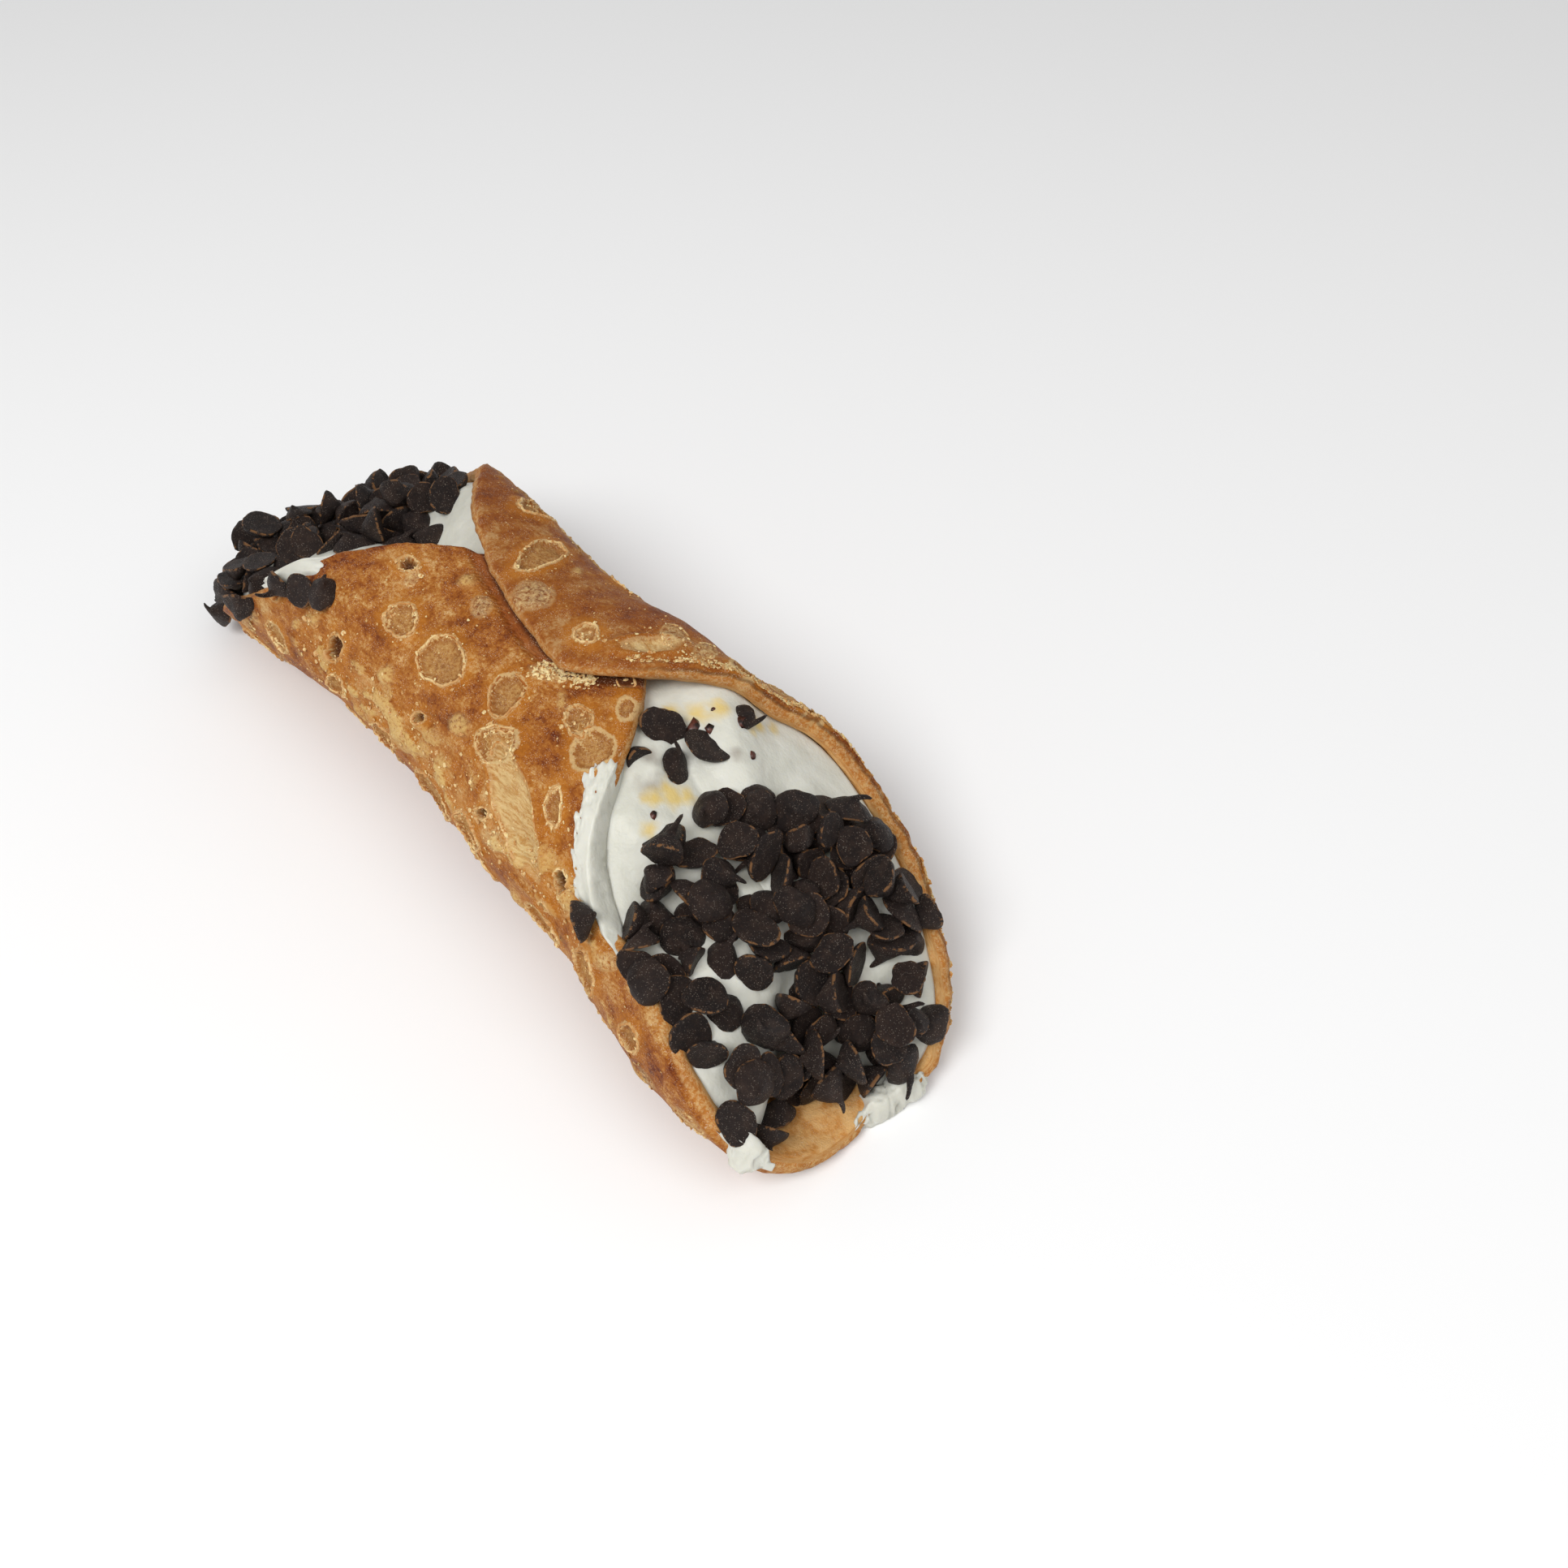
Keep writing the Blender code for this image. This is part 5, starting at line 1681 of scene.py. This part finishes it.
def settle_in(piece, node=None):
    """Hide the node of the solid model that a piece takes over, if one is given, and attach the piece to the body."""
    if node:
        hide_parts(node)
    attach(piece, BODY)


# ---- Operators --------------------------------------------------------------------------

class CANNOLO_OT_stage(bpy.types.Operator):
    """Build the white card, the studio lights and the camera"""
    bl_idname = "cannolo.stage"
    bl_label = "Build Stage"

    def execute(self, context):
        build_stage()
        return {"FINISHED"}


class CANNOLO_OT_dough(bpy.types.Operator):
    """Build the rolled sheet of fried dough with its blisters"""
    bl_idname = "cannolo.dough"
    bl_label = "Build Fried Dough"

    def execute(self, context):
        finish = own_finish("Fried_wheat_dough", fried_dough, context.scene)
        settle_in(build_dough(finish, blister_list()), "shell")
        return {"FINISHED"}


class CANNOLO_OT_crumbs(bpy.types.Operator):
    """Build the torn ridges round the blisters and the loose crumbs of dough"""
    bl_idname = "cannolo.crumbs"
    bl_label = "Build Ridges and Crumbs"

    def execute(self, context):
        finish = own_finish("Dry_fried_crumb", dry_crumb, context.scene)
        blisters = blister_list()
        ridges, ridge_places = build_ridges(finish, blisters)
        settle_in(ridges)
        size = context.scene.cannolo_sizes.crumb_size
        settle_in(build_crumbs(finish, ridge_places, blisters, size))
        return {"FINISHED"}


class CANNOLO_OT_cream(bpy.types.Operator):
    """Build the ricotta cream that fills the tube and domes out of both mouths"""
    bl_idname = "cannolo.cream"
    bl_label = "Build Cream"

    def execute(self, context):
        finish = own_finish("Sieved_ricotta_cream", ricotta, context.scene)
        settle_in(build_cream(finish), "cream")
        return {"FINISHED"}


class CANNOLO_OT_smears(bpy.types.Operator):
    """Build the cream that went past the rims and clings to the dough"""
    bl_idname = "cannolo.smears"
    bl_label = "Build Smears"

    def execute(self, context):
        finish = own_finish("Sieved_ricotta_cream", ricotta, context.scene)
        amount = context.scene.cannolo_sizes.smear
        settle_in(build_smears(finish, blister_list(), amount))
        return {"FINISHED"}


class CANNOLO_OT_flakes(bpy.types.Operator):
    """Build the broken flakes of chocolate pressed into the cream"""
    bl_idname = "cannolo.flakes"
    bl_label = "Build Chocolate Flakes"

    def execute(self, context):
        finish = own_finish("Wet_chocolate_flake", chocolate_flake, context.scene)
        settle_in(build_flakes(cream_mouths()[1], finish))
        return {"FINISHED"}


class CANNOLO_OT_drops(bpy.types.Operator):
    """Pour the chocolate drops onto the cream of both mouths and let them settle"""
    bl_idname = "cannolo.drops"
    bl_label = "Pour Chocolate Drops"

    def execute(self, context):
        finish = own_finish("Dark_baking_chocolate", chocolate, context.scene)
        sizes = context.scene.cannolo_sizes
        far_mouth, near_mouth = cream_mouths()
        laid = laid_on_cream(near_mouth) + laid_on_dough(SHELL_STRAYS[:NEAR_SHELL_STRAYS])
        near = pile_up("chocolate_drops_near", near_mouth, sizes.near_drops, sizes.drop_size,
                       NEAR_HEAP_EDGE, NEAR_SINK, laid, NEAR_SEED, finish)
        settle_in(near, "drops_near")
        laid = laid_on_dough(SHELL_STRAYS[NEAR_SHELL_STRAYS:])
        far = pile_up("chocolate_drops_far", far_mouth, sizes.far_drops, sizes.drop_size,
                      FAR_HEAP_EDGE, FAR_SINK, laid, FAR_SEED, finish)
        settle_in(far, "drops_far")
        return {"FINISHED"}


class CANNOLO_PT_build(bpy.types.Panel):
    """Lists the settings and the operators"""
    bl_idname = "CANNOLO_PT_build"
    bl_label = "Cannolo"
    bl_space_type = "VIEW_3D"
    bl_region_type = "UI"
    bl_category = "Cannolo"

    def draw(self, context):
        column = self.layout.column()
        for settings in (context.scene.cannolo_sizes, context.scene.cannolo_colours):
            for name in type(settings).__annotations__:
                column.prop(settings, name)
            column.separator()
        for operator in OPERATORS:
            column.operator(operator.bl_idname)


OPERATORS = (
    CANNOLO_OT_stage, CANNOLO_OT_dough, CANNOLO_OT_crumbs, CANNOLO_OT_cream, CANNOLO_OT_smears,
    CANNOLO_OT_flakes, CANNOLO_OT_drops,
)
CLASSES = (CannoloSizes, CannoloColours) + OPERATORS + (CANNOLO_PT_build,)


def register():
    for kind in CLASSES:
        bpy.utils.register_class(kind)
    bpy.types.Scene.cannolo_sizes = bpy.props.PointerProperty(type=CannoloSizes)
    bpy.types.Scene.cannolo_colours = bpy.props.PointerProperty(type=CannoloColours)


def unregister():
    del bpy.types.Scene.cannolo_colours
    del bpy.types.Scene.cannolo_sizes
    for kind in reversed(CLASSES):
        bpy.utils.unregister_class(kind)


def main():
    register()
    bpy.ops.cannolo.stage()
    bpy.ops.cannolo.dough()
    bpy.ops.cannolo.crumbs()
    bpy.ops.cannolo.cream()
    bpy.ops.cannolo.smears()
    bpy.ops.cannolo.flakes()
    bpy.ops.cannolo.drops()


if __name__ == "__main__":
    main()
